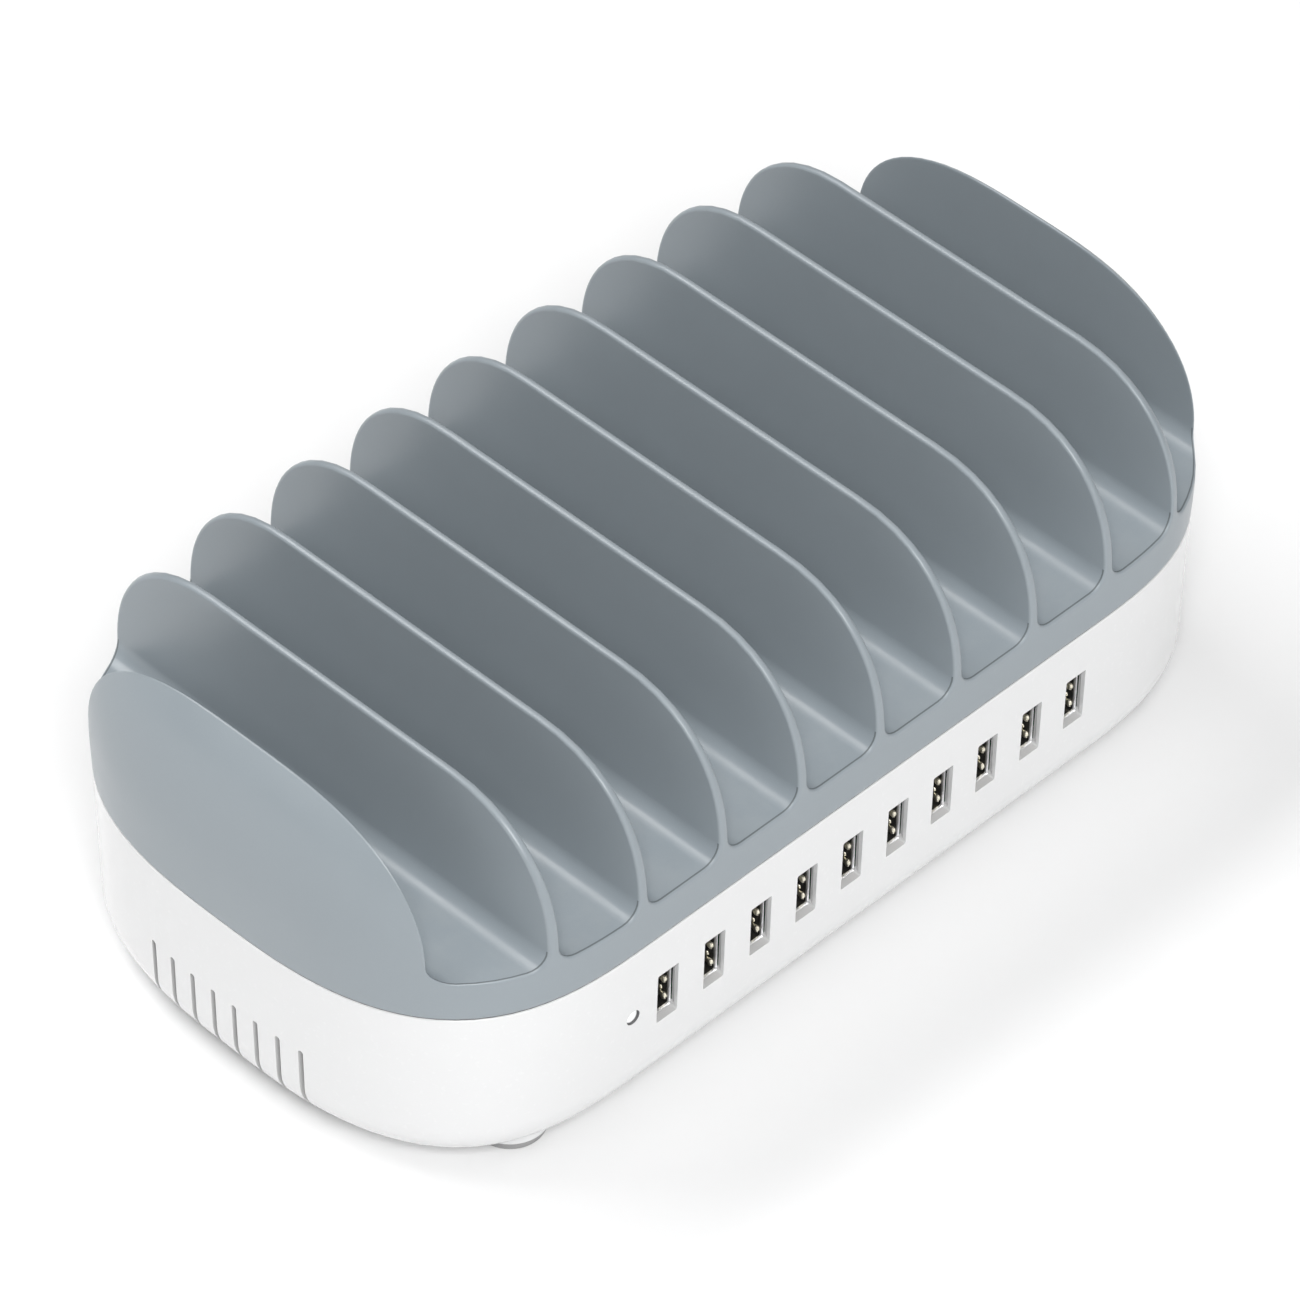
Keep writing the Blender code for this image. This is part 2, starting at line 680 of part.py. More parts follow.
def pocket_housing():
    """The walls behind the rear pocket, as a block rooted in the tub's rear wall."""
    half_length = POCKET_LENGTH / 2 + TUB_WALL
    low_z = POCKET_Z - POCKET_HEIGHT / 2 - TUB_WALL
    high_z = POCKET_Z + POCKET_HEIGHT / 2 + TUB_WALL
    low = (POCKET_X - half_length, PANEL_Y - TUB_WALL, low_z)
    high = (POCKET_X + half_length, HALF_WIDTH - tub_inset(low_z) - ROOT, high_z)
    return box_mesh("pocket_housing", low, high)


def rear_box(name, x, width, height, low_y, high_y):
    """A box centred on the rear pocket's height."""
    low = (x - width / 2, low_y, POCKET_Z - height / 2)
    return box_mesh(name, low, (x + width / 2, high_y, POCKET_Z + height / 2))


def board_posts(places, board_z):
    """Posts that carry a board, rooted in the tub's floor."""
    top = board_z - FIT_GAP
    return [rod_mesh("post", POST_RADIUS, (x, y, TUB_FLOOR_Z - ROOT), (x, y, top)) for x, y in places]


def board_bores(places, board_z):
    depth = BOARD_SCREW_LENGTH - BOARD_THICKNESS + BOARD_BORE_SPARE
    bores = []
    for x, y in places:
        low = (x, y, max(board_z - depth, TUB_FLOOR_Z))
        bores.append(rod_mesh("post_bore", BOARD_HOLE_RADIUS, low, (x, y, board_z + OVERRUN), SMALL_STEPS))
    return bores


def make_tub():
    tub = part("body_shell", tub_skin(), TUB_WHITE)
    shell = tub.modifiers.new("wall", "SOLIDIFY")
    shell.thickness = TUB_WALL
    shell.offset = -1
    shell.use_even_offset = True

    joined = [pocket_housing()]
    joined += board_posts(USB_SCREWS, USB_BOARD_Z) + board_posts(POWER_POSTS, POWER_BOARD_Z)
    ledge_z = USB_BOARD_Z - FIT_GAP
    ledge_half = USB_BOARD_LENGTH / 2
    ledge_y = -inner_wall_y(ledge_half, ledge_z)
    ledge_low = (-ledge_half, ledge_y - ROOT, ledge_z - LEDGE_HEIGHT)
    joined.append(box_mesh("ledge", ledge_low, (ledge_half, ledge_y + LEDGE_WIDTH, ledge_z)))

    cuts = [through_front("port", rectangle(x, PORT_Z, PORT_WIDTH, PORT_HEIGHT)) for x in PORTS]
    light = arc(LIGHT_X, PORT_Z, LIGHT_HOLE_RADIUS, 0, 2 * math.pi, SMALL_STEPS)[:-1]
    cuts.append(through_front("light_hole", light))
    cuts += [vent_cutter(side, y) for side in (-1, 1) for y in row(VENT_COUNT, VENT_PITCH)]
    cuts.append(rear_box("pocket", POCKET_X, POCKET_LENGTH, POCKET_HEIGHT, PANEL_Y, HALF_WIDTH + OVERRUN))
    behind = PANEL_Y - TUB_WALL - OVERRUN
    inlet = (INLET_LENGTH + 2 * FIT_GAP, INLET_HEIGHT + 2 * FIT_GAP)
    switch = (SWITCH_WIDTH + 2 * FIT_GAP, SWITCH_HEIGHT + 2 * FIT_GAP)
    cuts.append(rear_box("inlet_hole", INLET_X, *inlet, behind, PANEL_Y + OVERRUN))
    cuts.append(rear_box("switch_hole", SWITCH_X, *switch, behind, PANEL_Y + OVERRUN))
    for x, y in FEET:
        pedestal = (x, y, TUB_Z + PEDESTAL_HEIGHT)
        joined.append(rod_mesh("pedestal", FOOT_RADIUS + PEDESTAL_RIM, (x, y, TUB_Z), pedestal))
        joined.append(rod_mesh("tower", TOWER_RADIUS, (x, y, TUB_Z + ROOT), (x, y, TOWER_TOP_Z)))
        seat = (x, y, SCREW_SEAT_Z)
        cuts.append(rod_mesh("counterbore", COUNTERBORE_RADIUS, (x, y, TUB_Z - OVERRUN), seat))
        above = (x, y, TOWER_TOP_Z + OVERRUN)
        cuts.append(rod_mesh("screw_hole", SCREW_HOLE_RADIUS, (x, y, TUB_Z), above, SMALL_STEPS))
    cuts += board_bores(USB_SCREWS, USB_BOARD_Z) + board_bores(POWER_SCREWS, POWER_BOARD_Z)
    combine(tub, "UNION", joined)
    combine(tub, "DIFFERENCE", cuts)
    return shade_round(tub)


# Feet and screws


def make_feet():
    top = FOOT_HEIGHT
    profile = [(0, top), (FOOT_RADIUS, top), (FOOT_RADIUS, FOOT_CHAMFER), (FOOT_RADIUS - FOOT_CHAMFER, 0), (0, 0)]
    mesh = profile_mesh("foot", profile)
    for index, (x, y) in enumerate(FEET, 1):
        shade_round(turned(part(f"foot_{index}", mesh, FOOT_GREY, (x, y, 0))))


def make_case_screws():
    """Pan-head screws, head down, from under the tub into the tray's legs."""
    tip = SCREW_LENGTH - SCREW_RADIUS
    profile = [(0, SCREW_LENGTH), (SCREW_RADIUS, tip), (SCREW_RADIUS, 0), (SCREW_HEAD_RADIUS, 0)]
    profile += [(SCREW_HEAD_RADIUS, -SCREW_HEAD_HEIGHT), (0, -SCREW_HEAD_HEIGHT)]
    mesh = profile_mesh("case_screw", profile)
    for index, (x, y) in enumerate(FEET, 1):
        place = (x, y, SCREW_SEAT_Z - FIT_GAP)
        shade_round(turned(part(f"case_screw_{index}", mesh, SCREW_STEEL, place), SMALL_STEPS))


def board_screw_mesh():
    """A pan-head screw with its head on top, its origin under the head."""
    tip = BOARD_SCREW_LENGTH - BOARD_SCREW_RADIUS
    profile = [(0, BOARD_SCREW_HEAD_HEIGHT), (BOARD_SCREW_HEAD_RADIUS, BOARD_SCREW_HEAD_HEIGHT)]
    profile += [(BOARD_SCREW_HEAD_RADIUS, 0), (BOARD_SCREW_RADIUS, 0), (BOARD_SCREW_RADIUS, -tip)]
    return profile_mesh("board_screw", profile + [(0, -BOARD_SCREW_LENGTH)])


def make_board_screws():
    mesh = board_screw_mesh()
    screws = [("usb_board_screw", USB_SCREWS, USB_BOARD_TOP), ("power_board_screw", POWER_SCREWS, POWER_BOARD_TOP)]
    for name, places, top in screws:
        for index, (x, y) in enumerate(places, 1):
            place = (x, y, top + FIT_GAP)
            shade_round(turned(part(f"{name}_{index}", mesh, SCREW_STEEL, place), SMALL_STEPS))


# USB sockets, their board and the status light


def make_usb_sockets():
    """Upright sockets: a folded steel shell with a black tongue beside its middle."""
    shell_mesh = box_mesh(
        "usb_shell",
        (-SOCKET_WIDTH / 2, 0, -SOCKET_HEIGHT / 2),
        (SOCKET_WIDTH / 2, SOCKET_LENGTH, SOCKET_HEIGHT / 2),
    )
    shape = bmesh.new()
    shape.from_mesh(shell_mesh)
    mouth = [face for face in shape.faces if face.normal.y < 0 and abs(face.normal.y) > abs(face.normal.x)]
    bmesh.ops.delete(shape, geom=mouth, context="FACES_ONLY")
    shape.to_mesh(shell_mesh)
    shape.free()

    inside = SOCKET_WIDTH / 2 - SOCKET_WALL - FIT_GAP
    front = TONGUE_SETBACK
    back = SOCKET_LENGTH - SOCKET_WALL - FIT_GAP
    step = back - TONGUE_BASE
    outline = [(inside, front), (inside, back), (-inside, back), (-inside, step)]
    outline += [(inside - TONGUE_THICKNESS, step), (inside - TONGUE_THICKNESS, front)]
    tongue_mesh = flat_mesh("usb_tongue", outline, TONGUE_HEIGHT)

    for index, x in enumerate(PORTS, 1):
        place = (x, SOCKET_Y, PORT_Z)
        shell = part(f"usb_shell_{index}", shell_mesh, SOCKET_STEEL, place)
        wall = shell.modifiers.new("wall", "SOLIDIFY")
        wall.thickness = SOCKET_WALL
        wall.offset = -1
        wall.use_even_offset = True
        part(f"usb_tongue_{index}", tongue_mesh, TONGUE_BLACK, place)


def make_board(name, low, high, screws):
    """A circuit board with its screw holes."""
    board = part(name, box_mesh(name, low, high), BOARD_GREEN)
    below, above = low[2] - OVERRUN, high[2] + OVERRUN
    holes = [rod_mesh("hole", BOARD_HOLE_RADIUS, (x, y, below), (x, y, above), SMALL_STEPS) for x, y in screws]
    combine(board, "DIFFERENCE", holes)


def make_status_light():
    """A clear window in the front wall, with a lamp block behind it on the board."""
    face_y = tub_inset(PORT_Z) - HALF_WIDTH + LIGHT_SETBACK
    flange_y = -inner_wall_y(LIGHT_X, PORT_Z - LIGHT_HOLE_RADIUS - LIGHT_FLANGE_RIM) + FIT_GAP
    radius = LIGHT_HOLE_RADIUS - FIT_GAP
    flange = LIGHT_HOLE_RADIUS + LIGHT_FLANGE_RIM
    neck = face_y - flange_y
    profile = [(0, 0), (radius, 0), (radius, neck), (flange, neck), (flange, neck - LIGHT_FLANGE_DEPTH)]
    mesh = profile_mesh("light_window", profile + [(0, neck - LIGHT_FLANGE_DEPTH)])
    window = part("light_window", mesh, LIGHT_CLEAR, (LIGHT_X, face_y, PORT_Z), (math.pi / 2, 0, 0))
    shade_round(turned(window))

    bulb_y = flange_y + LIGHT_FLANGE_DEPTH + FIT_GAP
    block_y = bulb_y + LIGHT_BULB_LENGTH
    half = LIGHT_BLOCK_WIDTH / 2
    low = (LIGHT_X - half, block_y, USB_BOARD_TOP + FIT_GAP)
    high = (LIGHT_X + half, block_y + LIGHT_BLOCK_DEPTH, PORT_Z + LIGHT_BLOCK_RISE)
    lamp = part("status_light", box_mesh("status_light", low, high), LIGHT_CLEAR)
    start = (LIGHT_X, bulb_y, PORT_Z)
    combine(lamp, "UNION", [rod_mesh("bulb", LIGHT_BULB_RADIUS, start, (LIGHT_X, block_y + ROOT, PORT_Z))])


# Mains inlet and switch


def inlet_cavity():
    """The figure-eight recess for the plug: two rounds joined by a narrower neck."""
    lean = math.pi - math.asin(CAVITY_NECK / 2 / CAVITY_RADIUS)
    right = arc(PIN_PITCH / 2, 0, CAVITY_RADIUS, -lean, lean, CAVITY_STEPS)
    outline = right + [(-x, -z) for x, z in right]
    mesh = flat_mesh("inlet_cavity", outline, 2 * CAVITY_DEPTH)
    mesh.transform(Matrix.Translation((INLET_X, FACE_Y, POCKET_Z)) @ FACING_FRONT)
    return mesh


def make_inlet():
    back_y = FLANGE_Y - INLET_DEPTH
    body = rear_box("ac_inlet", INLET_X, INLET_LENGTH, INLET_HEIGHT, back_y, FACE_Y)
    rim = 2 * INLET_RIM
    flange = rear_box("flange", INLET_X, INLET_LENGTH + rim, INLET_HEIGHT + rim, FLANGE_Y, FACE_Y)
    inlet = part("ac_inlet", body, INLET_BLACK)
    cuts = [inlet_cavity()]
    length = FACE_Y - PIN_SETBACK - back_y + PIN_TAIL
    profile = [(0, 0), (PIN_RADIUS / 2, 0), (PIN_RADIUS, -PIN_RADIUS), (PIN_RADIUS, -length), (0, -length)]
    pin_mesh = profile_mesh("inlet_pin", profile)
    for index, side in enumerate((-1, 1), 1):
        x = INLET_X + side * PIN_PITCH / 2
        hole = ((x, back_y - OVERRUN, POCKET_Z), (x, FACE_Y, POCKET_Z))
        cuts.append(rod_mesh("pin_hole", PIN_RADIUS + FIT_GAP, *hole, SMALL_STEPS))
        place = (x, FACE_Y - PIN_SETBACK, POCKET_Z)
        pin = part(f"inlet_pin_{index}", pin_mesh, PIN_NICKEL, place, (-math.pi / 2, 0, 0))
        shade_round(turned(pin, SMALL_STEPS))
    combine(inlet, "UNION", [flange])
    combine(inlet, "DIFFERENCE", cuts)


def make_switch():
    back_y = FLANGE_Y - SWITCH_DEPTH
    rim = 2 * SWITCH_RIM
    body = rear_box("switch_frame", SWITCH_X, SWITCH_WIDTH, SWITCH_HEIGHT, back_y, FACE_Y)
    bezel = rear_box("bezel", SWITCH_X, SWITCH_WIDTH + rim, SWITCH_HEIGHT + rim, FLANGE_Y, FACE_Y)
    frame = part("switch_frame", body, INLET_BLACK)
    well_width = ROCKER_WIDTH + 2 * ROCKER_GAP
    well_height = 2 * (ROCKER_RADIUS + ROCKER_GAP)
    well_y = FACE_Y - SWITCH_CAVITY_DEPTH
    cuts = [rear_box("well", SWITCH_X, well_width, well_height, well_y, FACE_Y + OVERRUN)]
    half = SWITCH_WIDTH / 2 + OVERRUN
    axle = ((SWITCH_X - half, AXIS_Y, POCKET_Z), (SWITCH_X + half, AXIS_Y, POCKET_Z))
    cuts.append(rod_mesh("axle_hole", AXLE_RADIUS + FIT_GAP, *axle, SMALL_STEPS))
    for name, side in (("switch_terminal_lower", -1), ("switch_terminal_upper", 1)):
        z = POCKET_Z + side * TERMINAL_PITCH / 2
        front_y = well_y - FIT_GAP
        low = (SWITCH_X - TERMINAL_WIDTH / 2, front_y - TERMINAL_LENGTH, z - TERMINAL_THICKNESS / 2)
        high = (SWITCH_X + TERMINAL_WIDTH / 2, front_y, z + TERMINAL_THICKNESS / 2)
        part(name, box_mesh(name, low, high), PIN_NICKEL)
        gap = Vector((FIT_GAP, 0, FIT_GAP))
        slit_low = Vector((low[0], back_y - OVERRUN, low[2])) - gap
        slit_high = Vector((high[0], well_y + OVERRUN, high[2])) + gap
        cuts.append(box_mesh("terminal_slit", slit_low, slit_high))
    combine(frame, "UNION", [bezel])
    combine(frame, "DIFFERENCE", cuts)


def make_rocker():
    """The rocker, at rest against one stop; its origin is on its axis."""
    front = math.pi / 2 - ROCKER_FRONT_ANGLE
    rear = math.pi / 2 + ROCKER_REAR_ANGLE
    outline = [(ROCKER_DIP, 0)]
    outline += arc(0, 0, ROCKER_RADIUS, front, rear, ROCKER_STEPS)
    outline += arc(0, 0, ROCKER_RADIUS, -rear, -front, ROCKER_STEPS)
    mesh = flat_mesh("switch_rocker", outline, ROCKER_WIDTH)
    mesh.transform(FACING_SIDE)
    place = (SWITCH_X, AXIS_Y, POCKET_Z)
    rocker = part("switch_rocker", mesh, ROCKER_BLACK, place, (-ROCKER_TRAVEL / 2, 0, 0))
    reach = ROCKER_WIDTH / 2 + AXLE_REACH
    axle = tool(rod_mesh("axle", AXLE_RADIUS, (-reach, 0, 0), (reach, 0, 0), SMALL_STEPS), TOOLS)
    axle.location = place
    join = rocker.modifiers.new("axle", "BOOLEAN")
    join.operation = "UNION"
    join.object = axle


# Power supply


def on_power_board(shares):
    """The place on the power board at shares of its half length and half width."""
    x_share, y_share = shares
    return x_share * POWER_HALF_X, POWER_BOARD_Y + y_share * POWER_HALF_Y


def make_can(name, radius, height, shares):
    """A round capacitor can."""
    rim = radius - CAN_CHAMFER
    profile = [(0, height), (rim, height), (radius, height - CAN_CHAMFER), (radius, 0), (0, 0)]
    can = part(name, profile_mesh(name, profile), CAPACITOR_SLEEVE, (*on_power_board(shares), COMPONENT_Z))
    shade_round(turned(can, SMALL_STEPS))


def make_box_part(name, size, material, shares):
    return part(name, standing_box(name, size, *on_power_board(shares), COMPONENT_Z), material)


def make_heatsink(name, shares, side):
    """An extruded comb of fins, standing on end."""
    teeth = 2 * SINK_FIN_COUNT - 1
    pitch = SINK_LENGTH / teeth
    outline = [(0, SINK_LENGTH / 2), (0, -SINK_LENGTH / 2)]
    for index in range(teeth):
        reach = side * (SINK_PLATE + (SINK_FIN_DEPTH if index % 2 == 0 else 0))
        start = -SINK_LENGTH / 2 + index * pitch
        outline += [(reach, start), (reach, start + pitch)]
    mesh = flat_mesh(name, outline, SINK_HEIGHT)
    part(name, mesh, SINK_ALUMINIUM, (*on_power_board(shares), COMPONENT_Z + SINK_HEIGHT / 2))


def make_power_supply():
    fuse_x, fuse_y = on_power_board(FUSE_SHARES)
    fuse_z = COMPONENT_Z + FUSE_RADIUS
    ends = ((fuse_x - FUSE_LENGTH / 2, fuse_y, fuse_z), (fuse_x + FUSE_LENGTH / 2, fuse_y, fuse_z))
    shade_round(part("fuse", rod_mesh("fuse", FUSE_RADIUS, *ends, SMALL_STEPS), FUSE_BODY))
    make_box_part("x_capacitor", X_CAPACITOR, CAPACITOR_YELLOW, X_CAPACITOR_SHARES)
    make_box_part("bridge_rectifier", BRIDGE, RESIN_BLACK, BRIDGE_SHARES)

    choke = make_box_part("line_choke", CHOKE, FERRITE_GREY, CHOKE_SHARES)
    x, y = on_power_board(CHOKE_SHARES)
    window = (CHOKE_WINDOW, 2 * CHOKE[1], CHOKE_WINDOW)
    window_z = COMPONENT_Z + (CHOKE[2] - CHOKE_WINDOW) / 2
    combine(choke, "DIFFERENCE", [standing_box("choke_window", window, x, y, window_z)])

    transformer = make_box_part("transformer", CORE, FERRITE_GREY, TRANSFORMER_SHARES)
    x, y = on_power_board(TRANSFORMER_SHARES)
    winding_z = COMPONENT_Z + (CORE[2] - WINDING[2]) / 2
    combine(transformer, "UNION", [standing_box("winding", WINDING, x, y, winding_z)])

    make_can("bulk_capacitor", BULK_RADIUS, BULK_HEIGHT, BULK_SHARES)
    for index, shares in enumerate(OUTPUT_SHARES, 1):
        make_can(f"output_capacitor_{index}", OUTPUT_RADIUS, OUTPUT_HEIGHT, shares)
    make_heatsink("primary_heatsink", PRIMARY_SINK_SHARES, -1)
    make_heatsink("secondary_heatsink", SECONDARY_SINK_SHARES, 1)


# Wires


def smooth_route(stops):
    """Points of a smooth curve through the stops of a wire."""
    stops = [Vector(stop) for stop in stops]
    padded = [2 * stops[0] - stops[1]] + stops + [2 * stops[-1] - stops[-2]]
    route = []
    for before, start, end, after in zip(padded, padded[1:], padded[2:], padded[3:]):
        for step in range(WIRE_POINTS):
            t = step / WIRE_POINTS
            pull = end - before
            bend = 2 * before - 5 * start + 4 * end - after
            twist = 3 * start - before - 3 * end + after
            route.append(start + (pull * t + bend * t**2 + twist * t**3) / 2)
    return route + [stops[-1]]


def make_wire(name, material, stops):
    curve = bpy.data.curves.new(name, "CURVE")
    curve.dimensions = "3D"
    curve.bevel_depth = WIRE_RADIUS
    curve.bevel_resolution = 2
    curve.use_fill_caps = True
    route = smooth_route(stops)
    spline = curve.splines.new("POLY")
    spline.points.add(len(route) - 1)
    for point, place in zip(spline.points, route):
        point.co = (*place, 1)
    shade_round(part(name, curve_mesh(name, curve), material))


def make_wires():
    """Wires that leave and meet their ends straight, in the way of each end's lead."""
    pin_y = FLANGE_Y - INLET_DEPTH - PIN_TAIL - FIT_GAP
    terminal_y = FACE_Y - SWITCH_CAVITY_DEPTH - TERMINAL_LENGTH - 2 * FIT_GAP
    board_z = POWER_BOARD_TOP + FIT_GAP
    drop_y = POWER_BOARD_Y + POWER_HALF_Y - WIRE_LEAD
    rearward = Vector((0, WIRE_LEAD, 0))
    upward = Vector((0, 0, WIRE_LEAD))

    start = Vector((INLET_X - PIN_PITCH / 2, pin_y, POCKET_Z))
    end = Vector((start.x, drop_y, board_z))
    make_wire("neutral_wire", WIRE_BLUE, [start, start - rearward, end + upward, end])

    start = Vector((INLET_X + PIN_PITCH / 2, pin_y, POCKET_Z))
    end = Vector((SWITCH_X, terminal_y, POCKET_Z - TERMINAL_PITCH / 2))
    middle = (start + end) / 2 - Vector((0, WIRE_BEND, 0))
    make_wire("live_wire", WIRE_BROWN, [start, start - rearward, middle, end - rearward, end])

    start = Vector((SWITCH_X, terminal_y, POCKET_Z + TERMINAL_PITCH / 2))
    end = Vector((SWITCH_X + WIRE_BEND, drop_y, board_z))
    make_wire("switched_wire", WIRE_BROWN, [start, start - rearward, end + upward, end])

    front_y = POWER_BOARD_Y - POWER_HALF_Y + WIRE_LEAD
    rear_y = USB_BOARD_Y + USB_BOARD_WIDTH - WIRE_LEAD
    arch_z = USB_BOARD_TOP + DC_WIRE_ARCH
    for name, material, x in (
        ("dc_positive_wire", WIRE_RED, DC_WIRE_X),
        ("dc_negative_wire", WIRE_BLACK, DC_WIRE_X + DC_WIRE_STEP),
    ):
        start = Vector((x, front_y, board_z))
        arch = Vector((x, (front_y + rear_y) / 2, arch_z))
        end = Vector((x, rear_y, USB_BOARD_TOP + FIT_GAP))
        make_wire(name, material, [start, start + upward, arch, end + upward, end])


make_tray()
make_tub()
make_feet()
make_case_screws()
make_usb_sockets()
make_board("usb_board", USB_BOARD_LOW, USB_BOARD_HIGH, USB_SCREWS)
make_board("power_board", POWER_BOARD_LOW, POWER_BOARD_HIGH, POWER_SCREWS)
make_board_screws()
make_status_light()
make_inlet()
make_switch()
make_rocker()
make_power_supply()
make_wires()
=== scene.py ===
"""The looks of a ten-slot USB charging station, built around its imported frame."""

import json
import math

import bmesh
import bpy
from mathutils import Matrix, Vector


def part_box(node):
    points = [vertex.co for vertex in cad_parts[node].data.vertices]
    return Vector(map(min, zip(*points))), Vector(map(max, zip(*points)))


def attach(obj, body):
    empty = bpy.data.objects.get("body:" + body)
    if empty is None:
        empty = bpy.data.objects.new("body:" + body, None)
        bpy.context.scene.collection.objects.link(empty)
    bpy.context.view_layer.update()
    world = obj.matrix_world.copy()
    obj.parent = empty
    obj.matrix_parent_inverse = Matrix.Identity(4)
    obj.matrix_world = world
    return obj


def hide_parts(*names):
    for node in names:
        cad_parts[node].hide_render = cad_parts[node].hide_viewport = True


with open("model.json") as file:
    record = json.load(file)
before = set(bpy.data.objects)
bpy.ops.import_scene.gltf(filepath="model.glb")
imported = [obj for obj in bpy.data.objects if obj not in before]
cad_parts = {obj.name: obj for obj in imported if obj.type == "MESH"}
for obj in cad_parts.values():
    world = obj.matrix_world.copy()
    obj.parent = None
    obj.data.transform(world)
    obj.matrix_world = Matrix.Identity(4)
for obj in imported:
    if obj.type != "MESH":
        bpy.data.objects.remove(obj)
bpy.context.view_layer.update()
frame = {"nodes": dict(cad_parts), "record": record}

# All lengths are in metres.

# Plan outline and heights of the case, as in the solids
HALF_LENGTH = 0.119
HALF_WIDTH = 0.06335
END_ROUND = 0.055
END_EXPONENT = 2.8
PLAN_STEPS = 28
TUB_Z = 0.0024
SEAM_Z = 0.0454
TRAY_Z = 0.0457
TOP_Z = 0.0888
FIT_GAP = 0.0003

# Tray
TRAY_SWELL = 0.0003
SWELL_HEIGHT = 0.012
CREST_SIDE_INSET = 0.029
CREST_SIDE_EXPONENT = 2.3
CREST_END_INSET = 0.0115
CREST_END_EXPONENT = 1.8
CREST_PLAN_EXPONENT = 3.1
SLOT_COUNT = 10
SLOT_PITCH = 0.022
LAST_SLOT_X = (SLOT_COUNT - 1) / 2 * SLOT_PITCH
SLOT_TOP_HALF = 0.01015
SLOT_FLOOR_HALF = 0.0098
SLOT_FILLET = 0.004
SLOT_FLOOR_Z = 0.0557
TRAY_FLOOR = 0.0022
TRAY_SKIRT = 0.0036
LIP_INSET = 0.0026
LIP_DEPTH = 0.002
EDGE_ROUND = 0.0008
ARC_STEPS = 4
CREST_STEPS = 22
FILLET_STEPS = 6
FLOOR_STEPS = 4
BAND_ROWS = 12
UNDERCUT = 0.00045
UNDERCUT_BEND = 0.000135
BAND_Z = TRAY_Z + UNDERCUT

# Tub
TUB_WALL = 0.0022
TUB_DRAFT = 0.0007
TUB_ROUND = 0.011
TUB_ROUND_STEPS = 10
RIM_ROUND = 0.00035
RIM_STEPS = 4
PORT_COUNT = 10
PORT_PITCH = 0.013
PORT_Z = 0.02765
PORT_WIDTH = 0.0057
PORT_HEIGHT = 0.0132
PORT_CORNER = 0.00035
PORT_EDGE = 0.0002
RELIEF_DEPTH = 0.001
RELIEF_RIM = 0.0007
LIGHT_X = -0.068
LIGHT_RADIUS = 0.00175
VENT_COUNT = 8
VENT_PITCH = 0.006
VENT_WIDTH = 0.00125
VENT_TOP = 0.0211
VENT_REACH = 0.017
VENT_EDGE = 0.00035
POCKET_X = -0.036
POCKET_Z = 0.0265
POCKET_LENGTH = 0.048
POCKET_HEIGHT = 0.019
POCKET_DEPTH = 0.0045
POCKET_CORNER = 0.0012
HOUSING_SINK = 0.0008

# What stands on the tub's floor over each foot, and the screw's way through it
PEDESTAL_RADIUS = 0.0082
PEDESTAL_HEIGHT = 0.004
TOWER_RADIUS = 0.0046
TOWER_BASE = 0.0008
TOWER_HEIGHT = 0.012
COUNTERBORE_RADIUS = 0.0031
COUNTERBORE_DEPTH = 0.006
SCREW_HOLE_RADIUS = 0.0016
SCREW_HOLE_DEPTH = 0.014

# Sockets
SHELL_WALL = 0.0003
SHELL_LIP = 0.00055
SHELL_FLARE = 0.0002
SHELL_HEM = 0.0001
SHELL_CORNER = 0.0005
SHELL_INNER_CORNER = 0.0003
SPRING_WIDTH = 0.0017
SPRING_PITCH = 0.0047
BUMP_DEPTH = 0.0008
DIMPLE_DEPTH = 0.0019
DIMPLE_Z = 0.0032
TONGUE_THICK = 0.0018
TONGUE_FOOT = 0.004
TONGUE_TIP = 0.0005
TONGUE_ROUND = 0.0003
CONTACT_WIDTH = 0.001
OUTER_CONTACT_Z = 0.0035
INNER_CONTACT_Z = 0.001

# Feet and screws; the last four are shares of a screw's shank, its head's radius and its head's height
FOOT_X = 0.0865
FOOT_Y = 0.04745
FOOT_RADIUS = 0.0076
FOOT_HEIGHT = 0.0021
THREAD_PITCH = 0.0006
THREAD_CORE = 0.8
CROSS_REACH = 0.6
CROSS_HALF_WIDTH = 0.13
CROSS_FLOOR = 0.35

# Mains inlet: widths and heights of its hole in the panel, its flange and its barrel
INLET_X = -0.0455
INLET_HOLE = (0.0196, 0.011)
INLET_FLANGE = (0.022, 0.0134)
INLET_BARREL = (0.019, 0.0104)
INLET_CORNER = 0.0016
BARREL_CORNER = 0.001
INLET_EDGE = 0.0003
FLANGE_THICK = 0.0015
FLANGE_OVERLAP = 0.0008
PIN_X = 0.0043
PIN_RADIUS = 0.0012
PIN_HOLE_RADIUS = 0.0015
RECESS_RADIUS = 0.004
RECESS_WAIST = 0.0031
RECESS_DEPTH = 0.011

# Mains switch: widths and heights of its hole in the panel, its frame, its body and its well
SWITCH_X = -0.0215
SWITCH_HOLE = (0.0093, 0.014)
SWITCH_FRAME = (0.0105, 0.0152)
SWITCH_BODY = (0.0087, 0.0134)
SWITCH_WELL = (0.0068, 0.012)
SWITCH_CORNER = 0.0008
SWITCH_EDGE = 0.00025
WELL_DEPTH = 0.008
TERMINAL_Z = 0.0032
TERMINAL_SLIT = (0.0046, 0.0014)
AXLE_DEPTH = 0.003
AXLE_RADIUS = 0.0008
AXLE_HALF = 0.0037
AXLE_HOLE_RADIUS = 0.0011
ROCKER_WIDTH = 0.006
ROCKER_HALF = 0.0044
ROCKER_WAIST = 0.0026
ROCKER_HOLLOW = 0.0018
ROCKER_BACK = 0.0056
ROCKER_EDGE = 0.0003
ROCKER_EDGE_Y = 0.0015
ROCKER_REST = math.radians(12)
MARK_Z = 0.0026
MARK_LIFT = 0.00004
MARK_THICK = 0.00012
RING_RADIUS = 0.001
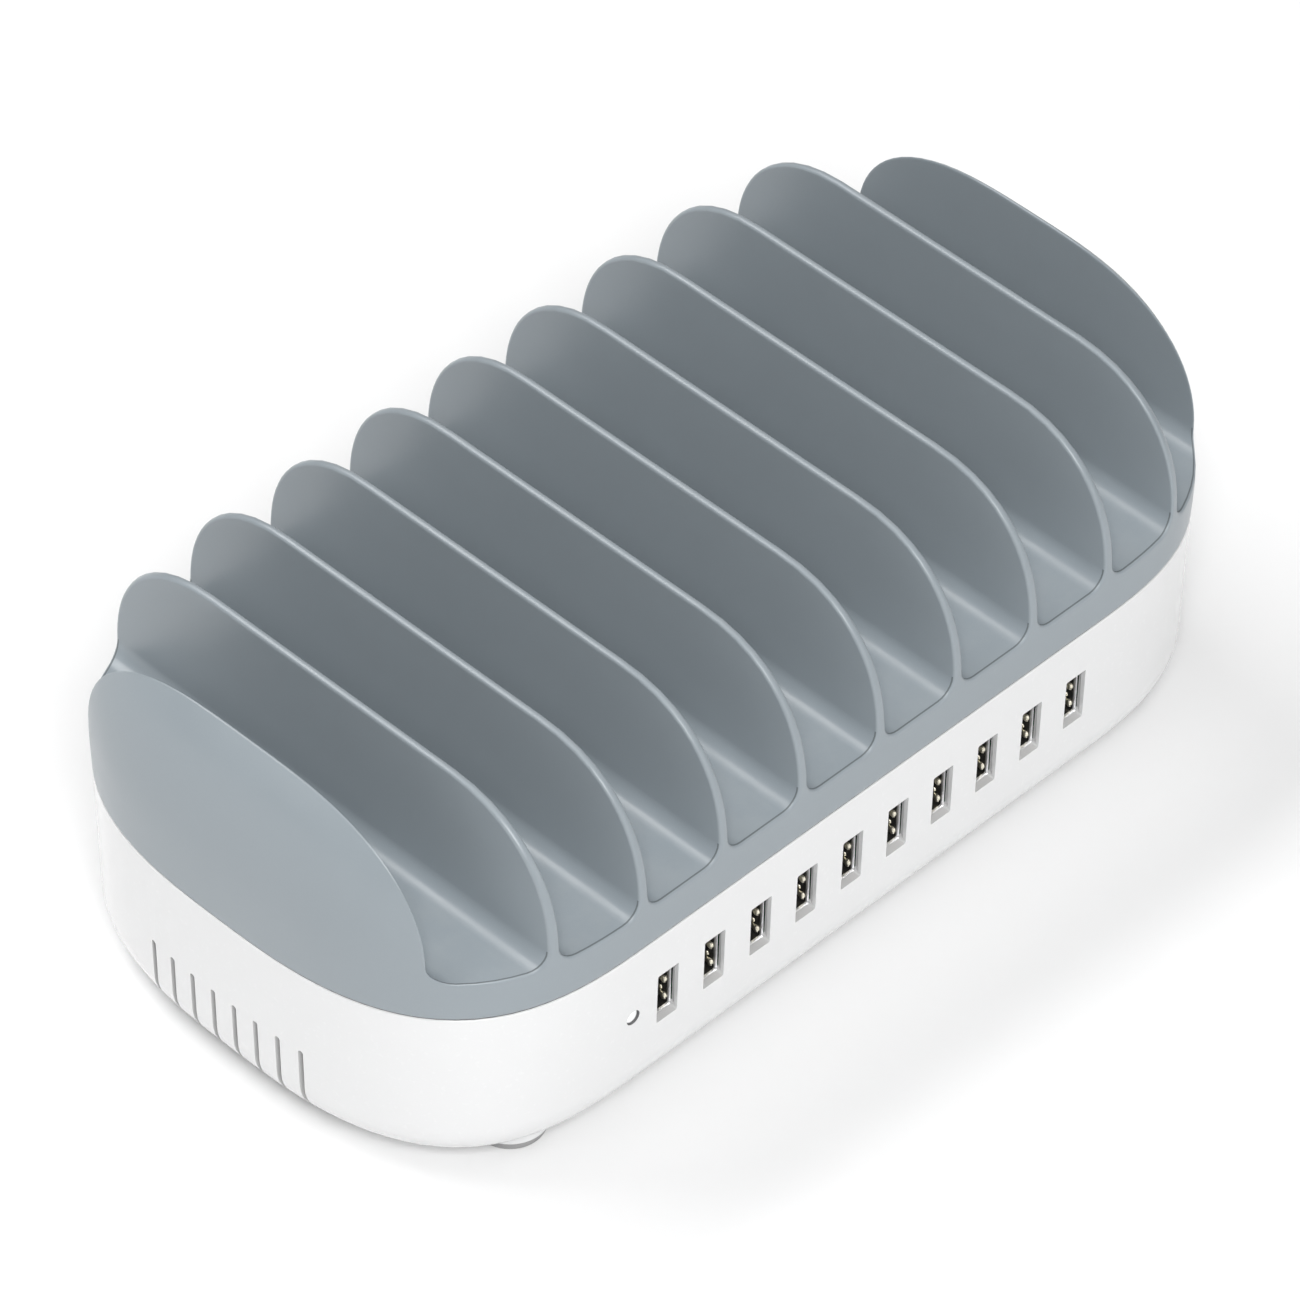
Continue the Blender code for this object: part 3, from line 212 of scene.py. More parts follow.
RING_HOLE = 0.00072
BAR_HALF_HEIGHT = 0.0009
BAR_HALF_WIDTH = 0.00015

# How far a cutting shape reaches past what it cuts
CUT_PAST = 0.002
# Slack in the tests that pick faces and edges by their place
HAIR = 0.00001
NEAR = 0.0003
# A normal's share along an axis: below the first the face runs along it, above the second it faces it
ALONGSIDE = 0.3
FACING = 0.7
# Edges that bend more than this are sharp
SHARP = math.radians(50)
# Points closer than these are one: while the tray is laid out, in a closed shape, on a turned axis
TRAY_MERGE = 0.0000001
MERGE = 0.000002
AXIS_MERGE = 0.000005
# The search for the hull: its first reach, its halvings, and the moves that put a point on the hull
SEARCH_REACH = 3.0
SEARCH_STEPS = 50
HULL_STEPS = 4


# Shader groups that the finishes share


def new_tree(name, kind, inputs, outputs):
    """An empty node group with its named sockets."""
    tree = bpy.data.node_groups.new(name, kind)
    for label, socket_type, value in inputs:
        socket = tree.interface.new_socket(label, in_out="INPUT", socket_type=socket_type)
        if value is not None:
            socket.default_value = value
    for label, socket_type in outputs:
        tree.interface.new_socket(label, in_out="OUTPUT", socket_type=socket_type)
    return tree


def node(tree, kind, **settings):
    made = tree.nodes.new(kind)
    for key, value in settings.items():
        setattr(made, key, value)
    return made


def wire(tree, *pairs):
    """Joins each output to the input beside it."""
    for start, end in pairs:
        tree.links.new(start, end)


def give(tree, socket, value):
    """Sets a socket to a number, or joins it to an output."""
    if isinstance(value, (int, float)):
        socket.default_value = value
    else:
        tree.links.new(value, socket)


def noise(tree, vector, scale, detail, roughness=0.5):
    made = node(tree, "ShaderNodeTexNoise")
    made.inputs["Detail"].default_value = detail
    made.inputs["Roughness"].default_value = roughness
    give(tree, made.inputs["Scale"], scale)
    wire(tree, (vector, made.inputs["Vector"]))
    return made.outputs["Fac"]


def maths(tree, operation, *values):
    made = node(tree, "ShaderNodeMath", operation=operation)
    for socket, value in zip(made.inputs, values):
        give(tree, socket, value)
    return made.outputs[0]


def ramp(tree, value, low, high, to_low=0.0, to_high=1.0):
    made = node(tree, "ShaderNodeMapRange", interpolation_type="SMOOTHSTEP")
    limits = {"From Min": low, "From Max": high, "To Min": to_low, "To Max": to_high}
    for label, limit in limits.items():
        give(tree, made.inputs[label], limit)
    tree.links.new(value, made.inputs["Value"])
    return made.outputs["Result"]


def grain_group():
    """Fine spark texture of a moulding, and a slow drift in its tone."""
    tree = new_tree(
        "moulded grain",
        "ShaderNodeTree",
        [("Vector", "NodeSocketVector", None), ("Grain Scale", "NodeSocketFloat", 2200.0),
         ("Drift Scale", "NodeSocketFloat", 45.0)],
        [("Height", "NodeSocketFloat"), ("Drift", "NodeSocketFloat"), ("Speckle", "NodeSocketFloat")],
    )
    given = node(tree, "NodeGroupInput")
    out = node(tree, "NodeGroupOutput")
    vector = given.outputs["Vector"]
    scale = given.outputs["Grain Scale"]
    fine = noise(tree, vector, scale, 3.0, 0.6)
    pits = node(tree, "ShaderNodeTexVoronoi", feature="SMOOTH_F1")
    pits.inputs["Smoothness"].default_value = 0.6
    wire(tree, (vector, pits.inputs["Vector"]), (maths(tree, "MULTIPLY", scale, 0.55), pits.inputs["Scale"]))
    fine_share = maths(tree, "MULTIPLY", fine, 0.65)
    pit_share = maths(tree, "MULTIPLY", pits.outputs["Distance"], 0.35)
    height = maths(tree, "ADD", fine_share, pit_share)
    drift = noise(tree, vector, given.outputs["Drift Scale"], 4.0, 0.55)
    speckle = ramp(tree, fine, 0.56, 0.72)
    wire(tree, (height, out.inputs["Height"]), (drift, out.inputs["Drift"]), (speckle, out.inputs["Speckle"]))
    return tree


def wear_group():
    """Rubbed edges: where the surface turns sharply outwards, broken up by noise."""
    tree = new_tree(
        "edge wear",
        "ShaderNodeTree",
        [("Vector", "NodeSocketVector", None), ("Start", "NodeSocketFloat", 0.52),
         ("End", "NodeSocketFloat", 0.62)],
        [("Mask", "NodeSocketFloat")],
    )
    given = node(tree, "NodeGroupInput")
    out = node(tree, "NodeGroupOutput")
    bend = node(tree, "ShaderNodeNewGeometry").outputs["Pointiness"]
    edge = ramp(tree, bend, given.outputs["Start"], given.outputs["End"])
    broken = ramp(tree, noise(tree, given.outputs["Vector"], 260.0, 3.0), 0.35, 0.65, 0.45, 1.0)
    wire(tree, (maths(tree, "MULTIPLY", edge, broken), out.inputs["Mask"]))
    return tree


def dust_group():
    """A thin film of dust on faces that look up."""
    tree = new_tree(
        "settled dust",
        "ShaderNodeTree",
        [("Vector", "NodeSocketVector", None), ("Amount", "NodeSocketFloat", 0.1)],
        [("Mask", "NodeSocketFloat")],
    )
    given = node(tree, "NodeGroupInput")
    out = node(tree, "NodeGroupOutput")
    split = node(tree, "ShaderNodeSeparateXYZ")
    wire(tree, (node(tree, "ShaderNodeNewGeometry").outputs["Normal"], split.inputs[0]))
    facing = ramp(tree, split.outputs["Z"], 0.55, 1.0)
    patches = ramp(tree, noise(tree, given.outputs["Vector"], 120.0, 6.0, 0.65), 0.35, 0.7)
    mask = maths(tree, "MULTIPLY", maths(tree, "MULTIPLY", facing, patches), given.outputs["Amount"])
    wire(tree, (mask, out.inputs["Mask"]))
    return tree


GRAIN = grain_group()
WEAR = wear_group()
DUST = dust_group()
DUST_TINT = (0.62, 0.60, 0.57)
DUST_ROUGHNESS = 0.3
# Specks are a little lighter than the finish, and rubbed edges lighter still.
SPECK_SHARE = 0.25
SPECK_TINT = 1.12
RUBBED_TINT = 1.6
# The roughness drifts by this share either way while the slow noise goes from its low to its high.
ROUGHNESS_DRIFT = 0.12
DRIFT_LOW = 0.3
DRIFT_HIGH = 0.7


def placed(tree, group, vector, **values):
    """A shared group in a material, with that material's own values."""
    made = node(tree, "ShaderNodeGroup", node_tree=group)
    wire(tree, (vector, made.inputs["Vector"]))
    for label, value in values.items():
        made.inputs[label.replace("_", " ").title()].default_value = value
    return made


def blend_colours(tree, share, first, second):
    made = node(tree, "ShaderNodeMix", data_type="RGBA")
    for socket, value in ((made.inputs[6], first), (made.inputs[7], second)):
        if isinstance(value, tuple):
            socket.default_value = (*value, 1)
        else:
            tree.links.new(value, socket)
    wire(tree, (share, made.inputs[0]))
    return made.outputs[2]


def shift(colour, factor):
    """The colour lighter or darker by a factor."""
    return tuple(min(1.0, channel * factor) for channel in colour)


def new_material(name):
    material = bpy.data.materials.new(name)
    material.use_nodes = True
    tree = material.node_tree
    coordinates = node(tree, "ShaderNodeTexCoord")
    return material, tree, tree.nodes["Principled BSDF"], coordinates.outputs["Object"]


def moulded(name, colour, roughness, grain_scale, grain_depth, drift, wear, dust, coat=0.0, metallic=0.0,
            stretch=None):
    """A finish of one base colour with grain, drift in tone, rubbed edges and dust."""
    material, tree, shader, vector = new_material(name)
    if stretch:
        mapping = node(tree, "ShaderNodeMapping")
        mapping.inputs["Scale"].default_value = stretch
        wire(tree, (vector, mapping.inputs["Vector"]))
        vector = mapping.outputs["Vector"]
    grain = placed(tree, GRAIN, vector, grain_scale=grain_scale)
    edge = placed(tree, WEAR, vector)
    film = placed(tree, DUST, vector, amount=dust)
    tone = blend_colours(tree, grain.outputs["Drift"], shift(colour, 1 - drift), shift(colour, 1 + drift))
    specks = maths(tree, "MULTIPLY", grain.outputs["Speckle"], SPECK_SHARE)
    speckled = blend_colours(tree, specks, tone, shift(colour, SPECK_TINT))
    rubs = maths(tree, "MULTIPLY", edge.outputs["Mask"], wear)
    rubbed = blend_colours(tree, rubs, speckled, shift(colour, RUBBED_TINT))
    dusty = blend_colours(tree, film.outputs["Mask"], rubbed, DUST_TINT)
    low, high = roughness * (1 - ROUGHNESS_DRIFT), roughness * (1 + ROUGHNESS_DRIFT)
    rough = ramp(tree, grain.outputs["Drift"], DRIFT_LOW, DRIFT_HIGH, low, high)
    dulled = maths(tree, "MULTIPLY", film.outputs["Mask"], DUST_ROUGHNESS)
    rough = maths(tree, "ADD", rough, dulled)
    bump = node(tree, "ShaderNodeBump")
    bump.inputs["Strength"].default_value = 1.0
    bump.inputs["Distance"].default_value = grain_depth
    wire(
        tree,
        (dusty, shader.inputs["Base Color"]),
        (rough, shader.inputs["Roughness"]),
        (grain.outputs["Height"], bump.inputs["Height"]),
        (bump.outputs["Normal"], shader.inputs["Normal"]),
    )
    shader.inputs["Metallic"].default_value = metallic
    shader.inputs["Coat Weight"].default_value = coat
    shader.inputs["Coat Roughness"].default_value = 0.08
    material.diffuse_color = (*colour, 1)
    return material


def circuit_board(name):
    """Green solder mask over copper tracks, with tinned pads."""
    material, tree, shader, vector = new_material(name)
    tracks = node(tree, "ShaderNodeTexBrick", offset=0.37, squash=0.7)
    tracks.inputs["Scale"].default_value = 160.0
    tracks.inputs["Mortar Size"].default_value = 0.06
    tracks.inputs["Mortar Smooth"].default_value = 0.3
    tracks.inputs["Brick Width"].default_value = 1.7
    tracks.inputs["Row Height"].default_value = 0.34
    pads = node(tree, "ShaderNodeTexVoronoi", distance="CHEBYCHEV")
    pads.inputs["Scale"].default_value = 210.0
    wire(tree, (vector, tracks.inputs["Vector"]), (vector, pads.inputs["Vector"]))
    grain = placed(tree, GRAIN, vector, grain_scale=1400.0)
    film = placed(tree, DUST, vector, amount=0.12)
    pad = ramp(tree, pads.outputs["Distance"], 0.13, 0.1)
    mask = blend_colours(tree, tracks.outputs["Fac"], (0.012, 0.13, 0.06), (0.03, 0.24, 0.10))
    tinned = blend_colours(tree, pad, mask, (0.55, 0.55, 0.52))
    dusty = blend_colours(tree, film.outputs["Mask"], tinned, DUST_TINT)
    bump = node(tree, "ShaderNodeBump")
    bump.inputs["Distance"].default_value = 0.00005
    height = maths(tree, "ADD", tracks.outputs["Fac"], maths(tree, "MULTIPLY", grain.outputs["Height"], 0.2))
    wire(
        tree,
        (dusty, shader.inputs["Base Color"]),
        (ramp(tree, pad, 0.0, 1.0, 0.38, 0.25), shader.inputs["Roughness"]),
        (pad, shader.inputs["Metallic"]),
        (height, bump.inputs["Height"]),
        (bump.outputs["Normal"], shader.inputs["Normal"]),
    )
    return material


def lit_lens(name):
    """Frosted lens of the status light, glowing faintly from behind."""
    material, tree, shader, vector = new_material(name)
    grain = placed(tree, GRAIN, vector, grain_scale=1800.0, drift_scale=600.0)
    colour = blend_colours(tree, grain.outputs["Drift"], (0.86, 0.88, 0.88), (0.95, 0.96, 0.96))
    bump = node(tree, "ShaderNodeBump")
    bump.inputs["Distance"].default_value = 0.00003
    wire(
        tree,
        (colour, shader.inputs["Base Color"]),
        (colour, shader.inputs["Emission Color"]),
        (ramp(tree, grain.outputs["Drift"], DRIFT_LOW, DRIFT_HIGH, 0.18, 0.26), shader.inputs["Roughness"]),
        (grain.outputs["Height"], bump.inputs["Height"]),
        (bump.outputs["Normal"], shader.inputs["Normal"]),
    )
    shader.inputs["Emission Strength"].default_value = 0.15
    shader.inputs["Coat Weight"].default_value = 0.5
    return material


# Each finish has its colour, roughness, grain scale and depth, drift in tone, edge wear and dust.
FINISH = {
    "tray_grey": moulded(
        "satin blue grey tray", (0.270, 0.3055, 0.331), 0.33, 2600.0, 0.000012, 0.035, 0.2, 0.05),
    "tub_white": moulded(
        "gloss white tub", (0.73, 0.732, 0.735), 0.17, 900.0, 0.000003, 0.012, 0.05, 0.02, coat=0.25),
    "foot_grey": moulded(
        "soft grey foot", (0.29, 0.29, 0.29), 0.85, 1500.0, 0.00003, 0.1, 0.2, 0.1),
    "screw_steel": moulded(
        "plated screw", (0.55, 0.55, 0.56), 0.32, 1800.0, 0.00001, 0.08, 0.3, 0.05, metallic=1.0),
    "socket_steel": moulded(
        "folded socket steel", (0.86, 0.86, 0.87), 0.4, 900.0, 0.00001, 0.08, 0.2, 0.02,
        metallic=1.0, stretch=(1, 6, 1)),
    "tongue_black": moulded(
        "black socket tongue", (0.012, 0.012, 0.012), 0.45, 1900.0, 0.00001, 0.2, 0.1, 0.0),
    "board_green": circuit_board("circuit board"),
    "inlet_black": moulded(
        "black inlet moulding", (0.016, 0.016, 0.017), 0.42, 2400.0, 0.00002, 0.2, 0.2, 0.05),
    "rocker_black": moulded(
        "smooth black rocker", (0.02, 0.02, 0.022), 0.25, 2200.0, 0.000008, 0.2, 0.25, 0.03, coat=0.2),
    "pin_nickel": moulded(
        "nickel pin", (0.66, 0.63, 0.56), 0.22, 1500.0, 0.000008, 0.06, 0.2, 0.02,
        metallic=1.0, stretch=(1, 5, 1)),
    "light_clear": lit_lens("status lens"),
    "fuse_ceramic": moulded(
        "ceramic fuse", (0.72, 0.69, 0.62), 0.5, 1600.0, 0.00002, 0.06, 0.1, 0.1),
    "capacitor_yellow": moulded(
        "yellow film capacitor", (0.70, 0.46, 0.05), 0.35, 1700.0, 0.00002, 0.08, 0.2, 0.1),
    "capacitor_sleeve": moulded(
        "shrink sleeve", (0.015, 0.02, 0.05), 0.28, 1200.0, 0.00001, 0.2, 0.3, 0.1, coat=0.4),
    "ferrite_grey": moulded(
        "dull ferrite", (0.055, 0.055, 0.06), 0.6, 1300.0, 0.00005, 0.2, 0.25, 0.15),
    "resin_black": moulded(
        "moulded resin", (0.018, 0.018, 0.019), 0.5, 1800.0, 0.00002, 0.2, 0.1, 0.1),
    "sink_aluminium": moulded(
        "extruded aluminium", (0.60, 0.61, 0.62), 0.36, 900.0, 0.00001, 0.06, 0.3, 0.08,
        metallic=1.0, stretch=(1, 1, 8)),
}
INSULATION = {
    "brown": (0.14, 0.05, 0.025),
    "blue": (0.03, 0.09, 0.36),
    "red": (0.42, 0.02, 0.02),
    "black": (0.02, 0.02, 0.02),
}
for tint, colour in INSULATION.items():
    FINISH[f"wire_{tint}"] = moulded(
        f"{tint} insulation", colour, 0.45, 1500.0, 0.00001, 0.1, 0.1, 0.05)

# Finishes of a part of a piece, beside the one of its slot; the slit, lip, seam and inner steel finishes are
# painted shade
# Painted shade: a grey darker than the tub for the sides of the slits and the ports' sills
PAINTED_SLIT_SHADE = moulded("painted shade in slits and on sills", (0.58, 0.58, 0.58), 0.7, 1800.0, 0.00002, 0.1, 0.0, 0.2)
# Painted shade: a dark strip on each slot's floor just behind its front lip
PAINTED_LIP_SHADE = moulded(
    "painted shade behind a slot's lip", (0.13, 0.148, 0.158), 0.5, 2600.0, 0.000012, 0.05, 0.0, 0.0)
# Painted shade: near-black for the rim's top under the tray's edge and for the light's hole
PAINTED_SEAM_SHADE = moulded("dusty seam", (0.12, 0.12, 0.125), 0.8, 1800.0, 0.00002, 0.15, 0.0, 0.1)
# Painted shade: near-black steel for the faces inside each socket shell
PAINTED_SHADE_STEEL = moulded(
    "steel with painted shade inside a socket", (0.035, 0.034, 0.032), 0.35, 900.0, 0.00001, 0.2, 0.1, 0.0,
    metallic=0.6, stretch=(1, 6, 1))
GILT = moulded("gilt contact", (0.95, 0.90, 0.74), 0.36, 1500.0, 0.000006, 0.06, 0.1, 0.0, metallic=1.0)
MARK_WHITE = moulded("printed mark", (0.80, 0.80, 0.80), 0.5, 1500.0, 0.00001, 0.04, 0.0, 0.0)


# Objects and meshes


def link(name, mesh):
    obj = bpy.data.objects.new(name, mesh)
    bpy.context.scene.collection.objects.link(obj)
    return obj


def mesh_of(name, shape):
    """The worked shape as a mesh."""
    mesh = bpy.data.meshes.new(name)
    shape.to_mesh(mesh)
    shape.free()
    return mesh


def settled(obj):
    """The object again, with its modifiers turned into plain mesh."""
    seen = obj.evaluated_get(bpy.context.evaluated_depsgraph_get())
    mesh = bpy.data.meshes.new_from_object(seen)
    name = obj.name
    obj.name = f"{name}_making"
    bpy.data.objects.remove(obj, do_unlink=True)
    mesh.name = name
    return link(name, mesh)


def numbered(stem, count):
    """The names of a row of like nodes."""
    return [f"{stem}_{index}" for index in range(1, count + 1)]


def shade_round(obj, angle=35):
    """Smooth shading that keeps wide faces flat beside their rounded edges."""
    obj.data.shade_smooth()
    obj.data.set_sharp_from_angle(angle=math.radians(angle))
    even = obj.modifiers.new("even", "WEIGHTED_NORMAL")
    even.keep_sharp = True
    return settled(obj)


def dressed(obj, slot, replaced, body="case", material=None):
    """A finished piece: its material, its body and the nodes that it stands for."""
    obj.data.materials.clear()
    obj.data.materials.append(material or FINISH[slot])
    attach(obj, body)
    if replaced:
        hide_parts(*replaced)
    return obj


def box_mesh(name, low, high):
    low, high = Vector(low), Vector(high)
    shape = bmesh.new()
    place = Matrix.Translation((low + high) / 2) @ Matrix.Diagonal((high - low).to_4d())
    bmesh.ops.create_cube(shape, size=1, matrix=place)
    return mesh_of(name, shape)


def rod_mesh(name, radius, start, end, steps):
    start, end = Vector(start), Vector(end)
    along = end - start
    turn = Vector((0, 0, 1)).rotation_difference(along).to_matrix().to_4x4()
    shape = bmesh.new()
    bmesh.ops.create_cone(
        shape, cap_ends=True, segments=steps, radius1=radius, radius2=radius, depth=along.length,
        matrix=Matrix.Translation((start + end) / 2) @ turn,
    )
    return mesh_of(name, shape)


def flat_mesh(name, outline, thickness, place):
    """A flat outline with a thickness, put in its place."""
    shape = bmesh.new()
    lower = [shape.verts.new((x, y, -thickness / 2)) for x, y in outline]
    face = shape.faces.new(lower)
    face.normal_update()
    if face.normal.z > 0:
        face.normal_flip()
    raised = bmesh.ops.extrude_face_region(shape, geom=[face])["geom"]
    moved = [item for item in raised if isinstance(item, bmesh.types.BMVert)]
    bmesh.ops.translate(shape, verts=moved, vec=(0, 0, thickness))
    bmesh.ops.recalc_face_normals(shape, faces=shape.faces)
    shape.transform(place)
    return mesh_of(name, shape)


FACING_FRONT = Matrix.Rotation(math.pi / 2, 4, "X")
FACING_SIDE = Matrix.Rotation(math.pi / 2, 4, "Z") @ FACING_FRONT


def arc(x, y, radius, start, end, steps):
    """Points on an arc about a middle, between two angles."""
    angles = [start + (end - start) * step / steps for step in range(steps + 1)]
    return [(x + radius * math.cos(a), y + radius * math.sin(a)) for a in angles]


def circle(x, y, radius, steps):
    return arc(x, y, radius, 0, 2 * math.pi, steps)[:-1]


def rounded_outline(width, height, radius, steps=4):
    """A rectangle about zero with round corners, anticlockwise."""
    x, y = width / 2 - radius, height / 2 - radius
    outline = []
    for corner, (sx, sy) in enumerate(((1, -1), (1, 1), (-1, 1), (-1, -1))):
        start = math.pi / 2 * (corner - 1)
        outline += arc(sx * x, sy * y, radius, start, start + math.pi / 2, steps)
    return outline


def spun_mesh(name, profile, steps=48):
    """A turned shape from a line of radius and height that starts and ends on its axis."""
    mesh = bpy.data.meshes.new(name)
    points = [(radius, 0, height) for radius, height in profile]
    mesh.from_pydata(points, [(index, index + 1) for index in range(len(points) - 1)], [])
    obj = link(name, mesh)
    turn = obj.modifiers.new("turn", "SCREW")
    turn.steps = turn.render_steps = steps
    turn.use_merge_vertices = True
    turn.merge_threshold = AXIS_MERGE
    made = settled(obj)
    shape = bmesh.new()
    shape.from_mesh(made.data)
    bmesh.ops.remove_doubles(shape, verts=shape.verts, dist=MERGE)
    bmesh.ops.recalc_face_normals(shape, faces=shape.faces)
    shape.to_mesh(made.data)
    shape.free()
    mesh = made.data
    bpy.data.objects.remove(made, do_unlink=True)
    return mesh


# Geometry nodes: a straight row of copies


def row_tree():
    """Copies of a shape on a line of points, as real geometry with a finish."""
    tree = new_tree(
        "row of copies",
        "GeometryNodeTree",
        [("Geometry", "NodeSocketGeometry", None), ("Count", "NodeSocketInt", 2),
         ("First Place", "NodeSocketVector", (0, 0, 0)), ("Step", "NodeSocketVector", (0.01, 0, 0)),
         ("Finish", "NodeSocketMaterial", None)],
        [("Geometry", "NodeSocketGeometry")],
    )
    given = node(tree, "NodeGroupInput")
    out = node(tree, "NodeGroupOutput")
    line = node(tree, "GeometryNodeMeshLine", mode="OFFSET")
    copies = node(tree, "GeometryNodeInstanceOnPoints")
    real = node(tree, "GeometryNodeRealizeInstances")
    coat = node(tree, "GeometryNodeSetMaterial")
    wire(
        tree,
        (given.outputs["Count"], line.inputs["Count"]),
        (given.outputs["First Place"], line.inputs["Start Location"]),
        (given.outputs["Step"], line.inputs["Offset"]),
        (line.outputs["Mesh"], copies.inputs["Points"]),
        (given.outputs["Geometry"], copies.inputs["Instance"]),
        (copies.outputs["Instances"], real.inputs["Geometry"]),
        (real.outputs["Geometry"], coat.inputs["Geometry"]),
        (given.outputs["Finish"], coat.inputs["Material"]),
        (coat.outputs["Geometry"], out.inputs["Geometry"]),
    )
    return tree


ROW = row_tree()


def in_rows(name, mesh, finish, *rows):
    """Copies of a mesh in rows: each row gives its count, its first place and its step."""
    obj = link(name, mesh)
    given = [item for item in ROW.interface.items_tree if item.in_out == "INPUT"]
    sockets = {item.name: item.identifier for item in given}
    for count, first, step in rows:
        change = obj.modifiers.new("row", "NODES")
        change.node_group = ROW
        change[sockets["Count"]] = count
        change[sockets["First Place"]] = first
        change[sockets["Step"]] = step
        change[sockets["Finish"]] = finish
    return settled(obj)


def centred(count, pitch):
    """Where the first of a row starts, so that the row's middle is at zero."""
    return -(count - 1) / 2 * pitch


# The tray's hull


def hull_sizes(z):
    """Half length, half width and plan exponent of the hull at a height."""
    height = z - TRAY_Z
    swell = TRAY_SWELL * math.sin(math.pi / 2 * min(max(height, 0) / SWELL_HEIGHT, 1))
    share = max(0.0, min((height - SWELL_HEIGHT) / (TOP_Z - TRAY_Z - SWELL_HEIGHT), 1.0))
    end = 1 - (1 - share**CREST_END_EXPONENT) ** (1 / CREST_END_EXPONENT)
    side = 1 - (1 - share**CREST_SIDE_EXPONENT) ** (1 / CREST_SIDE_EXPONENT)
    exponent = END_EXPONENT + (CREST_PLAN_EXPONENT - END_EXPONENT) * share
    return HALF_LENGTH + swell - CREST_END_INSET * end, HALF_WIDTH + swell - CREST_SIDE_INSET * side, exponent


def hull_y(x, z):
    """Half width of the hull at a place and height; negative beyond its end."""
    half_length, half_width, exponent = hull_sizes(z)
    stretch = half_length / HALF_LENGTH
    beyond = (abs(x) - (HALF_LENGTH - END_ROUND) * stretch) / (END_ROUND * stretch)
    if beyond >= 1:
        return -1.0
    return half_width * (1 - max(beyond, 0.0) ** exponent) ** (1 / exponent)


def hull_x(y, z):
    """Half length of the hull at a place across it and a height."""
    half_length, half_width, exponent = hull_sizes(z)
    stretch = half_length / HALF_LENGTH
    across = min(abs(y) / half_width, 1.0)
    return stretch * (HALF_LENGTH - END_ROUND + END_ROUND * (1 - across**exponent) ** (1 / exponent))


def hull_level(point):
    """Zero on the hull, positive outside it."""
    half_length, half_width, exponent = hull_sizes(point.z)
    stretch = half_length / HALF_LENGTH
    beyond = max((abs(point.x) - (HALF_LENGTH - END_ROUND) * stretch) / (END_ROUND * stretch), 0.0)
    return beyond**exponent + (abs(point.y) / half_width) ** exponent - 1


def hull_slope(point):
    """How fast the level rises along each axis, which points straight out of the hull."""
    slope = Vector()
    for axis in range(3):
        move = Vector()
        move[axis] = HAIR
        slope[axis] = (hull_level(point + move) - hull_level(point - move)) / (2 * HAIR)
    return slope


def onto_hull(point):
    """The point again, moved along the slope until it lies on the hull."""
    for _ in range(HULL_STEPS):
        slope = hull_slope(point)
        point = point - slope * (hull_level(point) / slope.length_squared)
    return point


def wall_half(z):
    """Half width of a slot between its drafted walls."""
    base_z = SLOT_FLOOR_Z + SLOT_FILLET
    return SLOT_FLOOR_HALF + (SLOT_TOP_HALF - SLOT_FLOOR_HALF) * (z - base_z) / (TOP_Z - base_z)


def wall_edge(centre, side):
    """The line where a slot's wall meets the hull: up the front, over the crest, down the rear."""
    base_z = SLOT_FLOOR_Z + SLOT_FILLET
    base_y = hull_y(centre + side * wall_half(base_z), base_z)
    quarter = []
    for step in range(CREST_STEPS + 1):
        angle = math.pi / 2 * step / CREST_STEPS
        along, rise = math.cos(angle), math.sin(angle)
        inside, outside = 0.0, SEARCH_REACH
        for _ in range(SEARCH_STEPS):
            reach = (inside + outside) / 2
            y, z = reach * base_y * along, base_z + reach * (TOP_Z - base_z) * rise
            held = z <= TOP_Z and hull_y(centre + side * wall_half(z), z) >= y
            inside, outside = (reach, outside) if held else (inside, reach)
        y, z = inside * base_y * along, base_z + inside * (TOP_Z - base_z) * rise
        quarter.append(Vector((centre + side * wall_half(z), -y, z)))
    rear = [Vector((point.x, -point.y, point.z)) for point in reversed(quarter[:-1])]
    return quarter + rear


def trough_edge(centre):
    """The front line where a slot's fillets and floor meet the hull, from left wall to right."""
    corner_x, corner_z = SLOT_FLOOR_HALF - SLOT_FILLET, SLOT_FLOOR_Z + SLOT_FILLET
    left = arc(-corner_x, corner_z, SLOT_FILLET, math.pi, 1.5 * math.pi, FILLET_STEPS)
    shares = [step / FLOOR_STEPS for step in range(1, FLOOR_STEPS)]
    floor = [(-corner_x + 2 * corner_x * share, SLOT_FLOOR_Z) for share in shares]
    right = [(-x, z) for x, z in reversed(left)]
    return [Vector((centre + x, -hull_y(centre + x, z), z)) for x, z in left + floor + right]


def round_over(edge, outer, inner):
    """Points of a rounded edge, from the outer face over to the inner one."""
    steps = [step / ARC_STEPS for step in range(ARC_STEPS + 1)]
    return [outer * (1 - t) ** 2 + edge * (2 * t * (1 - t)) + inner * t**2 for t in steps]


def beside_edge(edge, before, after, away):
    """The point on the hull beside an edge, at the width of its rounding."""
    run = after - before
    across = hull_slope(edge).normalized().cross(run).normalized()
    if across.dot(away) < 0:
        across = -across
    return onto_hull(edge + across * EDGE_ROUND)


def mirrored(points):
    """The points again on the other side, front for rear."""
    return [Vector((point.x, -point.y, point.z)) for point in points]


def strip(shape, first, second):
    """Faces between two lines of vertices, leaving out what has closed up."""
    for a, b, c, d in zip(first, first[1:], second[1:], second):
        corners = []
        for vert in (a, b, c, d):
            if vert not in corners:
                corners.append(vert)
        if len(corners) > 2 and not shape.faces.get(corners):
            shape.faces.new(corners)


def strips(shape, lines):
    for first, second in zip(lines, lines[1:]):
        strip(shape, first, second)


def loft(shape, rings):
    """Faces from each closed ring of vertices to the next."""
    strips(shape, [ring + ring[:1] for ring in rings])


